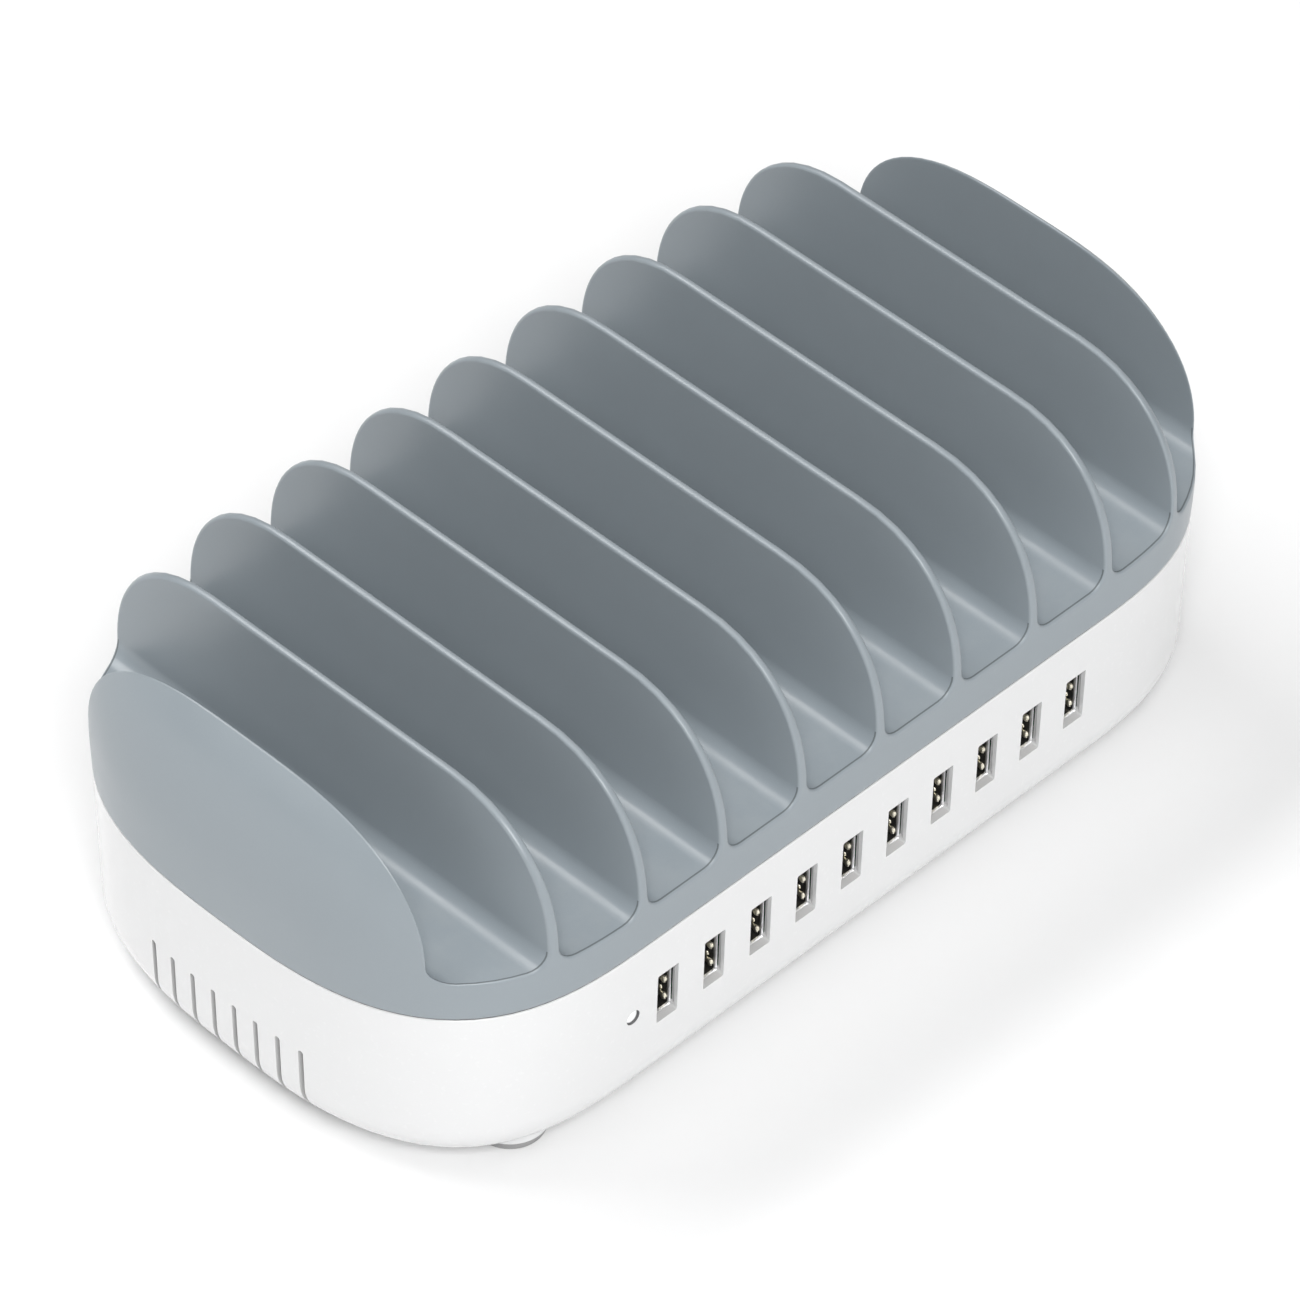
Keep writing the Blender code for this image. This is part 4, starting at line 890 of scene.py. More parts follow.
class Grid:
    """Vertices of the tray, made once for each place."""

    def __init__(self):
        self.shape = bmesh.new()
        self.known = {}

    def vert(self, point):
        key = tuple(round(value / TRAY_MERGE) for value in point)
        if key not in self.known:
            self.known[key] = self.shape.verts.new(point)
        return self.known[key]

    def line(self, points):
        return [self.vert(point) for point in points]


def wall_columns(centre, side):
    """The rounded edge along one wall of a slot, in columns from the hull over into the slot."""
    edge = wall_edge(centre, side)
    last = len(edge) - 1
    beside_cheek = side * centre > LAST_SLOT_X - HAIR
    columns = []
    for index, point in enumerate(edge):
        before, after = edge[max(index - 1, 0)], edge[min(index + 1, last)]
        run = (after - before).normalized()
        if index in (0, last):
            run = Vector((0, 0, 1 if index == 0 else -1))
        inward = Vector((0, -run.z, run.y)).normalized()
        if inward.dot(Vector((0, -point.y, SLOT_FLOOR_Z - point.z))) < 0:
            inward = -inward
        inner = point + inward * EDGE_ROUND
        inner.x = centre + side * wall_half(inner.z)
        if beside_cheek:
            outer = beside_edge(point, before, after, Vector((side, 0, 0)))
        else:
            outer = point + Vector((side * EDGE_ROUND, 0, 0))
            if point.z < TOP_Z - HAIR:
                outer = onto_hull(outer)
        columns.append(round_over(point, outer, inner))
    return columns


def lip_columns(centre, left_post, right_post):
    """The rounded edge along a slot's front lip, between the first columns of its two walls."""
    edge = trough_edge(centre)
    columns = [left_post]
    for before, point, after in zip(edge, edge[1:], edge[2:]):
        outer = beside_edge(point, before, after, Vector((0, 0, -1)))
        columns.append(round_over(point, outer, point + Vector((0, EDGE_ROUND, 0))))
    return columns + [right_post]


def slot_shape(grid, centre):
    """One slot with its rounded mouth. Returns its outer lines: left wall, right wall, front lip."""
    left, right = wall_columns(centre, -1), wall_columns(centre, 1)
    for columns in (left, right):
        rows = [grid.line(row) for row in zip(*columns)]
        strips(grid.shape, rows)
        # The wall spans its own inner edge, from its front half across to its rear half
        inside = rows[-1]
        middle = len(inside) // 2
        strip(grid.shape, inside[: middle + 1], list(reversed(inside[middle:])))
    lip = lip_columns(centre, left[0], right[0])
    for turn in (list, mirrored):
        strips(grid.shape, [grid.line(row) for row in zip(*[turn(column) for column in lip])])
    trough = [column[-1] for column in lip]
    strip(grid.shape, grid.line(trough), grid.line(mirrored(trough)))
    return [[column[0] for column in columns] for columns in (left, right, lip)]


def band_column(top):
    """Points of the hull below a place on it, from the seam up."""
    points = []
    for row in range(BAND_ROWS):
        z = BAND_Z + (top.z - BAND_Z) * row / BAND_ROWS
        points.append(Vector((top.x, math.copysign(hull_y(top.x, z), top.y), z)))
    return points + [top]


def cheek_columns(ridge, side):
    """Lines over an end cheek's outer face, from the seam up to its ridge, front to rear."""
    seam_y = hull_y(ridge[0].x, BAND_Z)
    columns = []
    last = len(ridge) - 1
    for index, top in enumerate(ridge):
        if index in (0, last):
            columns.append(band_column(top))
            continue
        foot_y = -seam_y * math.cos(math.pi * index / last)
        column = []
        for row in range(BAND_ROWS):
            share = row / BAND_ROWS
            y, z = foot_y + (top.y - foot_y) * share, BAND_Z + (top.z - BAND_Z) * share
            column.append(Vector((side * hull_x(y, z), y, z)))
        columns.append(column + [top])
    return columns


def make_tray():
    """The tray as one mesh: its slots, crests, bands, end cheeks and the lip inside the tub."""
    grid = Grid()
    first = centred(SLOT_COUNT, SLOT_PITCH)
    slots = [slot_shape(grid, first + index * SLOT_PITCH) for index in range(SLOT_COUNT)]
    for (_, left_edge, _), (right_edge, _, _) in zip(slots, slots[1:]):
        strip(grid.shape, grid.line(left_edge), grid.line(right_edge))
    front = [band_column(top) for _, _, lip in slots for top in lip]
    rear = [mirrored(column) for column in front]
    left_cheek, right_cheek = cheek_columns(slots[0][0], -1), cheek_columns(slots[-1][1], 1)
    for columns in (front, rear, left_cheek, right_cheek):
        strips(grid.shape, [grid.line(column) for column in columns])

    around = front + right_cheek[1:-1] + rear[::-1] + left_cheek[-2:0:-1]
    seam = [column[0] for column in around]
    levels = [
        (0, BAND_Z),
        (UNDERCUT_BEND, TRAY_Z + UNDERCUT_BEND),
        (UNDERCUT, TRAY_Z),
        (LIP_INSET, TRAY_Z),
        (LIP_INSET, TRAY_Z - LIP_DEPTH),
        (TRAY_SKIRT, TRAY_Z - LIP_DEPTH),
        (TRAY_SKIRT, SLOT_FLOOR_Z - TRAY_FLOOR),
    ]
    rings = []
    for inset, z in levels:
        ring = []
        for before, point, after in zip(seam[-1:] + seam, seam, seam[1:] + seam[:1]):
            along = after - before
            inward = Vector((-along.y, along.x, 0)).normalized()
            ring.append(grid.vert(Vector((point.x, point.y, z)) + inward * inset))
        rings.append(ring)
    loft(grid.shape, rings)
    grid.shape.faces.new(rings[-1])
    bmesh.ops.remove_doubles(grid.shape, verts=grid.shape.verts, dist=MERGE)
    bmesh.ops.recalc_face_normals(grid.shape, faces=grid.shape.faces)
    tray = link("tray", mesh_of("tray", grid.shape))
    paint_lip_shade(dressed(shade_round(tray, 50), "tray_grey", ["top_tray"]))


def paint_lip_shade(tray):
    """Painted shade: a darker finish on the narrow strip behind each slot's front lip."""
    tray.data.materials.append(PAINTED_LIP_SHADE)
    for face in tray.data.polygons:
        middle = face.center
        behind_edge = hull_y(middle.x, middle.z) - abs(middle.y)
        low = SLOT_FLOOR_Z - NEAR < middle.z < SLOT_FLOOR_Z + SLOT_FILLET
        in_slot = abs(middle.x) < LAST_SLOT_X + SLOT_FLOOR_HALF + HAIR
        # Faces in this strip take the painted shade
        if low and in_slot and EDGE_ROUND / 2 < behind_edge < EDGE_ROUND:
            face.material_index = 1


# Tub


def plan_ring(inset):
    """The plan outline drawn in by an inset, anticlockwise."""
    quarter = []
    for step in range(PLAN_STEPS + 1):
        angle = math.pi / 2 * step / PLAN_STEPS
        along, across = (math.cos(angle) if step < PLAN_STEPS else 0.0), math.sin(angle)
        pull = (along / END_ROUND) ** END_EXPONENT + (across / HALF_WIDTH) ** END_EXPONENT
        x, y = along * pull ** (-1 / END_EXPONENT), across * pull ** (-1 / END_EXPONENT)
        lean_x = (x / END_ROUND) ** (END_EXPONENT - 1) / END_ROUND
        lean_y = (y / HALF_WIDTH) ** (END_EXPONENT - 1) / HALF_WIDTH
        normal = Vector((lean_x, lean_y)).normalized()
        quarter.append((HALF_LENGTH - END_ROUND + x - normal.x * inset, y - normal.y * inset))
    ring = list(quarter)
    ring += [(-x, y) for x, y in reversed(quarter)]
    ring += [(-x, -y) for x, y in quarter[1:]]
    ring += [(x, -y) for x, y in reversed(quarter[1:])]
    return ring


def tub_inset(z):
    """How far the tub's outer face is drawn in at a height."""
    round_z = TUB_Z + TUB_ROUND
    if z >= round_z:
        return TUB_DRAFT * (SEAM_Z - z) / (SEAM_Z - round_z)
    drop = min((round_z - z) / TUB_ROUND, 1)
    return TUB_DRAFT + TUB_ROUND * (1 - math.sqrt(1 - drop**2))


def tub_body():
    """The tub as one closed wall: outer face, rounded rim and inner face."""
    round_z = TUB_Z + TUB_ROUND
    turns = [math.pi / 2 * step / TUB_ROUND_STEPS for step in range(TUB_ROUND_STEPS, 0, -1)]
    inner = TUB_ROUND - TUB_WALL
    rings = [(TUB_DRAFT + TUB_ROUND * (1 - math.cos(t)), round_z - TUB_ROUND * math.sin(t)) for t in turns]
    rings += [(TUB_DRAFT, round_z), (tub_inset(SEAM_Z - RIM_ROUND), SEAM_Z - RIM_ROUND)]
    for step in range(1, RIM_STEPS + 1):
        turn = math.pi / 2 * step / RIM_STEPS
        rings.append((RIM_ROUND * (1 - math.cos(turn)), SEAM_Z - RIM_ROUND * (1 - math.sin(turn))))
    rings += [(TUB_WALL, SEAM_Z), (TUB_DRAFT + TUB_WALL, round_z)]
    for turn in reversed(turns):
        rings.append((TUB_DRAFT + TUB_WALL + inner * (1 - math.cos(turn)), round_z - inner * math.sin(turn)))
    shape = bmesh.new()
    levels = [[shape.verts.new((x, y, z)) for x, y in plan_ring(inset)] for inset, z in rings]
    loft(shape, levels)
    shape.faces.new(levels[0])
    shape.faces.new(levels[-1])
    bmesh.ops.recalc_face_normals(shape, faces=shape.faces)
    return mesh_of("tub", shape)


def rear_box(name, x, size, low_y, high_y):
    """A box at the pocket's height, from its middle, its width and height, and its two depths."""
    half_x, half_z = size[0] / 2, size[1] / 2
    return box_mesh(name, (x - half_x, low_y, POCKET_Z - half_z), (x + half_x, high_y, POCKET_Z + half_z))


def facing_rear(x, low_y, high_y):
    """The place of a flat outline that faces the rear at the pocket's height, between two depths."""
    return Matrix.Translation((x, (low_y + high_y) / 2, POCKET_Z)) @ FACING_FRONT


PANEL_Y = HALF_WIDTH - tub_inset(POCKET_Z) - POCKET_DEPTH
FLANGE_Y = PANEL_Y + FIT_GAP
FACE_Y = FLANGE_Y + FLANGE_THICK
AXIS_Y = FACE_Y - AXLE_DEPTH


def joined(target, operation, objects):
    """Joins or cuts a set of shapes at once."""
    group = bpy.data.collections.new(f"{target.name}_{operation.lower()}")
    bpy.context.scene.collection.children.link(group)
    for obj in objects:
        bpy.context.scene.collection.objects.unlink(obj)
        group.objects.link(obj)
    change = target.modifiers.new("shape", "BOOLEAN")
    change.operation = operation
    change.operand_type = "COLLECTION"
    change.collection = group
    made = settled(target)
    for obj in objects:
        bpy.data.objects.remove(obj, do_unlink=True)
    bpy.data.collections.remove(group)
    return made


def gathered(name, objects):
    """Several separate shapes as one piece."""
    shape = bmesh.new()
    for obj in objects:
        shape.from_mesh(obj.data)
        bpy.data.objects.remove(obj, do_unlink=True)
    return link(name, mesh_of(name, shape))


def feet_rows():
    """The two rows that put one shape at each of the four feet."""
    return [(2, (-FOOT_X, -FOOT_Y, 0), (2 * FOOT_X, 0, 0)), (2, (0, 0, 0), (0, 2 * FOOT_Y, 0))]


def round_edges(obj, chosen, width):
    """Rounds the sharp edges that a test picks out."""
    shape = bmesh.new()
    shape.from_mesh(obj.data)
    picked = []
    for edge in shape.edges:
        sharp = len(edge.link_faces) == 2 and edge.calc_face_angle(0) > SHARP
        if sharp and all(chosen(vert.co) for vert in edge.verts):
            picked.append(edge)
    bmesh.ops.bevel(
        shape, geom=picked, offset=width, segments=2, profile=0.5, affect="EDGES", clamp_overlap=True)
    shape.to_mesh(obj.data)
    shape.free()


def outer_x(point):
    """Distance of the tub's outer face from the middle, at a place in an end wall."""
    across = min(abs(point.y) / HALF_WIDTH, 1)
    end = END_ROUND * (1 - across**END_EXPONENT) ** (1 / END_EXPONENT)
    return HALF_LENGTH - END_ROUND + end - tub_inset(point.z)


def in_slit(y):
    """Whether a place across the end wall lies in one of the slits, or on its side."""
    steps = (y - centred(VENT_COUNT, VENT_PITCH)) / VENT_PITCH
    nearest = min(max(round(steps), 0), VENT_COUNT - 1)
    return abs(steps - nearest) * VENT_PITCH < VENT_WIDTH / 2 + 2 * HAIR


def on_feet(name, mesh):
    return in_rows(name, mesh, None, *feet_rows())


def tub_housings():
    """What stands inside the tub: the pocket's housing, and a pedestal and a tower on each foot."""
    half = POCKET_LENGTH / 2 + TUB_WALL
    low_z = POCKET_Z - POCKET_HEIGHT / 2 - TUB_WALL
    high_z = POCKET_Z + POCKET_HEIGHT / 2 + TUB_WALL
    low = (POCKET_X - half, PANEL_Y - TUB_WALL, low_z)
    high = (POCKET_X + half, HALF_WIDTH - tub_inset(low_z) - HOUSING_SINK, high_z)
    pedestal = rod_mesh("pedestal", PEDESTAL_RADIUS, (0, 0, TUB_Z), (0, 0, TUB_Z + PEDESTAL_HEIGHT), 48)
    base, top = (0, 0, TUB_Z + TOWER_BASE), (0, 0, TUB_Z + TOWER_HEIGHT)
    tower = rod_mesh("tower", TOWER_RADIUS, base, top, 32)
    housing = link("housing", box_mesh("housing", low, high))
    return [housing, on_feet("pedestals", pedestal), on_feet("towers", tower)]


def front_openings():
    """Cutters for the ports, the thinner wall behind each port's edge and the light's hole."""
    depth = 2 * (TUB_WALL + TUB_DRAFT + CUT_PAST)
    front = Matrix.Translation((0, -HALF_WIDTH, 0)) @ FACING_FRONT
    port = flat_mesh("port", rounded_outline(PORT_WIDTH, PORT_HEIGHT, PORT_CORNER, 3), depth, front)
    relief_y = tub_inset(PORT_Z) - HALF_WIDTH + RELIEF_DEPTH
    half_x, half_z = PORT_WIDTH / 2 + RELIEF_RIM, PORT_HEIGHT / 2 - RELIEF_RIM
    relief = box_mesh("relief", (-half_x, relief_y, -half_z), (half_x, relief_y + TUB_WALL, half_z))
    row = (PORT_COUNT, (centred(PORT_COUNT, PORT_PITCH), 0, PORT_Z), (PORT_PITCH, 0, 0))
    light = flat_mesh("light", circle(LIGHT_X, PORT_Z, LIGHT_RADIUS, 40), depth, front)
    return [in_rows("ports", port, None, row), in_rows("reliefs", relief, None, row), link("light", light)]


def end_openings():
    """Cutters for the slits low in both end walls."""
    radius = VENT_WIDTH / 2
    reach = VENT_REACH + CUT_PAST
    slit = arc(0, TUB_Z + VENT_TOP - radius, radius, 0, math.pi, 8)
    slit += [(-radius, -CUT_PAST), (radius, -CUT_PAST)]
    row = (VENT_COUNT, (0, centred(VENT_COUNT, VENT_PITCH), 0), (0, VENT_PITCH, 0))
    cuts = []
    for side in (-1, 1):
        x = side * (HALF_LENGTH - (VENT_REACH - CUT_PAST) / 2)
        vent = flat_mesh("vent", slit, reach, Matrix.Translation((x, 0, 0)) @ FACING_SIDE)
        cuts.append(in_rows("vents", vent, None, row))
    return cuts


def rear_openings():
    """Cutters for the pocket, and for the holes of the inlet and the switch in its panel."""
    outside = HALF_WIDTH + CUT_PAST
    outline = rounded_outline(POCKET_LENGTH, POCKET_HEIGHT, POCKET_CORNER)
    pocket = flat_mesh("pocket", outline, outside - PANEL_Y, facing_rear(POCKET_X, PANEL_Y, outside))
    cuts = [link("pocket", pocket)]
    for name, x, size in (("inlet_hole", INLET_X, INLET_HOLE), ("switch_hole", SWITCH_X, SWITCH_HOLE)):
        behind, before = PANEL_Y - TUB_WALL - CUT_PAST, PANEL_Y + CUT_PAST
        cuts.append(link(name, rear_box(name, x, size, behind, before)))
    return cuts


def screw_openings():
    """Cutters for each case screw's head and its shank."""
    below, bore_top = (0, 0, TUB_Z - CUT_PAST), (0, 0, TUB_Z + COUNTERBORE_DEPTH)
    bore = rod_mesh("counterbore", COUNTERBORE_RADIUS, below, bore_top, 32)
    hole = rod_mesh("screw_hole", SCREW_HOLE_RADIUS, (0, 0, TUB_Z), (0, 0, TUB_Z + SCREW_HOLE_DEPTH), 24)
    return [on_feet("counterbores", bore), on_feet("screw_holes", hole)]


def at_mouth(point):
    """Whether a place is on the outer edge of a port, of the light's hole or of the pocket."""
    outside = abs(point.y) - (HALF_WIDTH - tub_inset(point.z))
    past_light = abs(LIGHT_X) + LIGHT_RADIUS + NEAR
    in_front = point.y < 0 and abs(point.x) < past_light and abs(point.z - PORT_Z) < PORT_HEIGHT / 2 + NEAR
    by_pocket_x = abs(point.x - POCKET_X) < POCKET_LENGTH / 2 + NEAR
    by_pocket_z = abs(point.z - POCKET_Z) < POCKET_HEIGHT / 2 + NEAR
    in_pocket = point.y > 0 and by_pocket_x and by_pocket_z
    return abs(outside) < 3 * HAIR and (in_front or in_pocket)


def at_slit(point):
    """Whether a place is on the outer edge of a slit."""
    low = point.z < TUB_Z + VENT_TOP + NEAR
    across = abs(point.y) < VENT_COUNT / 2 * VENT_PITCH
    return low and across and abs(outer_x(point) - abs(point.x)) < NEAR


def shade_openings(tub):
    """Painted shade: a grey darker than the tub on the faces in the slits and on the ports' sills, and a
    near-black one in the light's hole and on the rim's top under the tray.
    """
    tub.data.materials.append(PAINTED_SLIT_SHADE)
    tub.data.materials.append(PAINTED_SEAM_SHADE)
    for face in tub.data.polygons:
        middle, turned = face.center, face.normal
        at_end = abs(middle.x) > HALF_LENGTH - VENT_REACH - CUT_PAST
        low = middle.z < TUB_Z + VENT_TOP + NEAR
        slit = at_end and low and in_slit(middle.y) and abs(turned.x) < ALONGSIDE
        in_front = middle.y < TUB_WALL + CUT_PAST - HALF_WIDTH and abs(turned.y) < ALONGSIDE
        from_light = math.hypot(middle.x - LIGHT_X, middle.z - PORT_Z)
        hole = in_front and from_light < LIGHT_RADIUS + NEAR
        at_sill = abs(middle.z - PORT_Z + PORT_HEIGHT / 2) < NEAR
        sill = in_front and at_sill and turned.z > FACING and abs(middle.x) < PORT_COUNT / 2 * PORT_PITCH
        # Slits and sills take the grey painted shade; the light's hole and the rim's top take the near-black
        # painted shade
        if slit or sill:
            face.material_index = 1
        elif hole or middle.z > SEAM_Z - HAIR:
            face.material_index = 2


def make_tub():
    """The white tub with its openings."""
    tub = joined(link("tub", tub_body()), "UNION", tub_housings())
    cuts = front_openings() + end_openings() + rear_openings() + screw_openings()
    tub = joined(tub, "DIFFERENCE", cuts)
    round_edges(tub, at_mouth, PORT_EDGE)
    round_edges(tub, at_slit, VENT_EDGE)
    shade_openings(dressed(shade_round(tub), "tub_white", ["body_shell"]))


# Sockets

# A spring's outline: how far it stands out from the shell's inner face, and its depth in the shell
SPRING_BEND = [(0, 0.0034), (-0.00012, 0.0022), (-0.00045, 0.0013), (-0.00058, 0.0009), (-0.00055, 0.00062),
               (-0.0003, 0.00025), (-0.00018, 0.0003), (-0.00036, 0.00072), (-0.0003, 0.0012), (0, 0.0022)]
# Radius and height of the round bump on each spring, and of the dimples between the springs
BUMP = [(0, -0.0001), (0.00078, -0.0001), (0.00076, 0.00008), (0.0006, 0.00032), (0.00035, 0.0005),
        (0, 0.00056)]
BUMP_SINK = 0.00015
DIMPLE = [(0, -0.0001), (0.0006, -0.0001), (0.00055, 0.0001), (0.00035, 0.00028), (0, 0.00036)]
# A contact's outline: how far it stands out from the tongue, and its depth behind the tongue's tip
CONTACT_BEND = [(0.0012, -0.00005), (0.0001, -0.00005), (-0.0002, 0.0006), (-0.00055, 0.0016),
                (-0.00045, 0.0026), (-0.00018, 0.0038), (-0.00018, 0.0088), (0.0001, 0.0088),
                (0.0001, 0.0001), (0.0012, 0.0001)]


def socket_size():
    """The size of a socket's solid shell."""
    low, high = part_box("usb_shell_1")
    return high - low


def socket_row():
    """The row of sockets: its count, the middle of the first one's mouth and the step to the next."""
    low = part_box("usb_shell_1")[0]
    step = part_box("usb_shell_2")[0].x - low.x
    return PORT_COUNT, Vector((low.x + socket_size().x / 2, low.y, PORT_Z)), (step, 0, 0)


def make_shells():
    """The folded steel shells with their flared mouths, with painted shade: near-black steel on their inner
    faces.
    """
    size = socket_size()
    inner_x, inner_z = size.x - 2 * SHELL_WALL, size.z - 2 * SHELL_WALL
    rings = [
        (size.x, size.z, size.y),
        (size.x, size.z, SHELL_HEM),
        (size.x + SHELL_FLARE, size.z - SHELL_HEM, -SHELL_LIP),
        (size.x + SHELL_FLARE / 2, size.z - 2 * SHELL_HEM, -SHELL_LIP - SHELL_HEM),
        (inner_x - SHELL_HEM, inner_z - SHELL_HEM, -SHELL_HEM / 2),
        (inner_x, inner_z, size.y - SHELL_WALL),
    ]
    shape = bmesh.new()
    levels = []
    for width, height, depth in rings:
        outline = rounded_outline(width, height, SHELL_CORNER if width > inner_x else SHELL_INNER_CORNER)
        levels.append([shape.verts.new((x, depth, z)) for x, z in outline])
    loft(shape, levels)
    shape.faces.new(levels[0])
    shape.faces.new(levels[-1])
    bmesh.ops.recalc_face_normals(shape, faces=shape.faces)
    row = socket_row()
    shells = in_rows("usb_shells", mesh_of("usb_shell", shape), FINISH["socket_steel"], row)
    shells = dressed(shade_round(shells), "socket_steel", numbered("usb_shell", PORT_COUNT))

    # Painted shade: the faces inside each shell take the near-black steel
    shells.data.materials.append(PAINTED_SHADE_STEEL)
    _, place, (pitch, _, _) = row
    for face in shells.data.polygons:
        middle = face.center
        off = (middle.x - place.x + pitch / 2) % pitch - pitch / 2
        inside = abs(off) < inner_x / 2 + HAIR and abs(middle.z - PORT_Z) < inner_z / 2 + HAIR
        if inside and middle.y > place.y + NEAR:
            face.material_index = 1


def make_springs():
    """Three springs with round bumps on each broad side of every shell, and dimples between them."""
    reach = socket_size().x / 2 - SHELL_WALL
    row = socket_row()
    three = (3, (0, 0, -SPRING_PITCH), (0, 0, SPRING_PITCH))
    two = (2, (0, 0, -DIMPLE_Z), (0, 0, 2 * DIMPLE_Z))
    springs = []
    for side in (-1, 1):
        turn = Matrix.Rotation(-side * math.pi / 2, 4, "Y")
        outline = [(side * (reach + x), y) for x, y in SPRING_BEND]
        spring = flat_mesh("spring", outline, SPRING_WIDTH, Matrix())
        springs.append(in_rows("springs", spring, GILT, three, row))
        bump = spun_mesh("bump", BUMP, 24)
        bump.transform(Matrix.Translation((side * (reach - BUMP_SINK), BUMP_DEPTH, 0)) @ turn)
        springs.append(in_rows("bumps", bump, GILT, three, row))
        dimple = spun_mesh("dimple", DIMPLE, 20)
        dimple.transform(Matrix.Translation((side * reach, DIMPLE_DEPTH, 0)) @ turn)
        springs.append(in_rows("dimples", dimple, GILT, two, row))
    dressed(shade_round(gathered("usb_springs", springs)), "socket_steel", [], material=GILT)


def make_tongues():
    """The black tongues on their blocks, each with four gilt contacts."""
    low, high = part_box("usb_tongue_1")
    size = high - low
    step = socket_row()[2]
    front = size.x - TONGUE_THICK
    outline = [(size.x, 0), (size.x, size.y), (0, size.y), (0, size.y - TONGUE_FOOT),
               (front, size.y - TONGUE_FOOT), (front, TONGUE_TIP), (front + TONGUE_TIP, 0),
               (size.x - TONGUE_ROUND, 0)]
    tongue = flat_mesh("usb_tongue", outline, size.z, Matrix.Translation((0, 0, size.z / 2)))
    tongues = in_rows("usb_tongues", tongue, FINISH["tongue_black"], (PORT_COUNT, low, step))
    dressed(shade_round(tongues), "tongue_black", numbered("usb_tongue", PORT_COUNT))

    contact = flat_mesh("contact", CONTACT_BEND, CONTACT_WIDTH, Matrix())
    first = Vector((high.x - TONGUE_THICK, low.y, PORT_Z - OUTER_CONTACT_Z))
    pair = (2, (0, 0, 0), (0, 0, OUTER_CONTACT_Z - INNER_CONTACT_Z))
    pairs = (2, (0, 0, 0), (0, 0, OUTER_CONTACT_Z + INNER_CONTACT_Z))
    contacts = in_rows("usb_contacts", contact, GILT, pair, pairs, (PORT_COUNT, first, step))
    dressed(shade_round(contacts), "pin_nickel", [], material=GILT)


# Status light

# Radius and depth of the lens's front, the rim of its neck last
LENS_DOME = [(0, -0.00062), (0.0008, -0.0006), (0.0013, -0.00052), (0.00156, -0.0004), (0.00166, -0.00025)]
LENS_FLANGE_RADIUS = 0.00275
LENS_FLANGE_THICK = 0.001


def make_status_lens():
    """The lens: a domed neck in the wall, and a flange behind it."""
    low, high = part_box("light_window")
    back = high.y - low.y
    neck = LENS_DOME[-1][0]
    flange_y = back - LENS_FLANGE_THICK
    profile = LENS_DOME + [(neck, flange_y), (LENS_FLANGE_RADIUS, flange_y)]
    profile += [(LENS_FLANGE_RADIUS, back), (0, back)]
    mesh = spun_mesh("status_lens", profile)
    mesh.transform(Matrix.Translation((LIGHT_X, low.y, PORT_Z)) @ Matrix.Rotation(-math.pi / 2, 4, "X"))
    dressed(shade_round(link("status_lens", mesh)), "light_clear", ["light_window"])


# Feet and screws

# How far in from a foot's side its turned edge lies, and how high: down the side, then over a groove
FOOT_EDGE = [(0.0003, FOOT_HEIGHT), (0, FOOT_HEIGHT - 0.0003), (0, 0.0007), (0.0002, 0.0002), (0.0007, 0),
             (0.0016, 0), (0.0019, 0.0003), (0.0022, 0)]
# Head radius, head height, shank radius and length of the screws
CASE_SCREW = (0.0028, 0.0018, 0.0013, 0.016)
BOARD_SCREW = (0.0024, 0.0016, 0.0012, 0.006)


def make_feet():
    profile = [(0, FOOT_HEIGHT)] + [(FOOT_RADIUS - inset, z) for inset, z in FOOT_EDGE] + [(0, 0)]
    feet = in_rows("feet", spun_mesh("foot", profile), FINISH["foot_grey"], *feet_rows())
    dressed(shade_round(feet), "foot_grey", numbered("foot", 4))


def screw_mesh(name, head_radius, head_height, radius, length):
    """A pan-head screw with a cross recess, head down, its origin under the head."""
    dome = [(0, 1), (0.55, 1), (0.85, 0.8), (1, 0.45), (1, 0)]
    profile = [(head_radius * out, -head_height * up) for out, up in dome] + [(radius, 0)]
    core = radius * THREAD_CORE
    for turn in range(int((length - 2 * radius) / THREAD_PITCH)):
        z = THREAD_PITCH * (turn + 0.5)
        profile += [(radius, z), (core, z + THREAD_PITCH / 2)]
    profile += [(core, length - radius), (0, length)]
    screw = link(name, spun_mesh(name, profile, 24))
    arm, half_width = head_radius * CROSS_REACH, head_radius * CROSS_HALF_WIDTH
    cross = []
    for turn in (0, math.pi / 2):
        low = (-arm, -half_width, -head_height - CUT_PAST)
        bar = box_mesh("bar", low, (arm, half_width, -head_height * CROSS_FLOOR))
        bar.transform(Matrix.Rotation(turn, 4, "Z"))
        cross.append(link("bar", bar))
    made = joined(screw, "DIFFERENCE", cross)
    mesh = made.data
    bpy.data.objects.remove(made, do_unlink=True)
    return mesh


def make_case_screws():
    """The four screws that hold the tray, up through the tub's feet."""
    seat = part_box("case_screw_1")[0].z + CASE_SCREW[1]
    first_row, second_row = feet_rows()
    rows = [(2, (-FOOT_X, -FOOT_Y, seat), first_row[2]), second_row]
    screws = in_rows("case_screws", screw_mesh("case_screw", *CASE_SCREW), FINISH["screw_steel"], *rows)
    dressed(shade_round(screws), "screw_steel", numbered("case_screw", 4))


def make_board_screws():
    """The two screws of each board, head up."""
    mesh = screw_mesh("board_screw", *BOARD_SCREW)
    mesh.transform(Matrix.Rotation(math.pi, 4, "X"))
    for board in ("usb", "power"):
        names = numbered(f"{board}_board_screw", 2)
        seats = []
        for name in names:
            low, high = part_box(name)
            seats.append(Vector(((low.x + high.x) / 2, (low.y + high.y) / 2, high.z - BOARD_SCREW[1])))
        row = (2, seats[0], seats[1] - seats[0])
        screws = in_rows(f"{board}_board_screws", mesh.copy(), FINISH["screw_steel"], row)
        dressed(shade_round(screws), "screw_steel", names)


# Mains inlet and switch

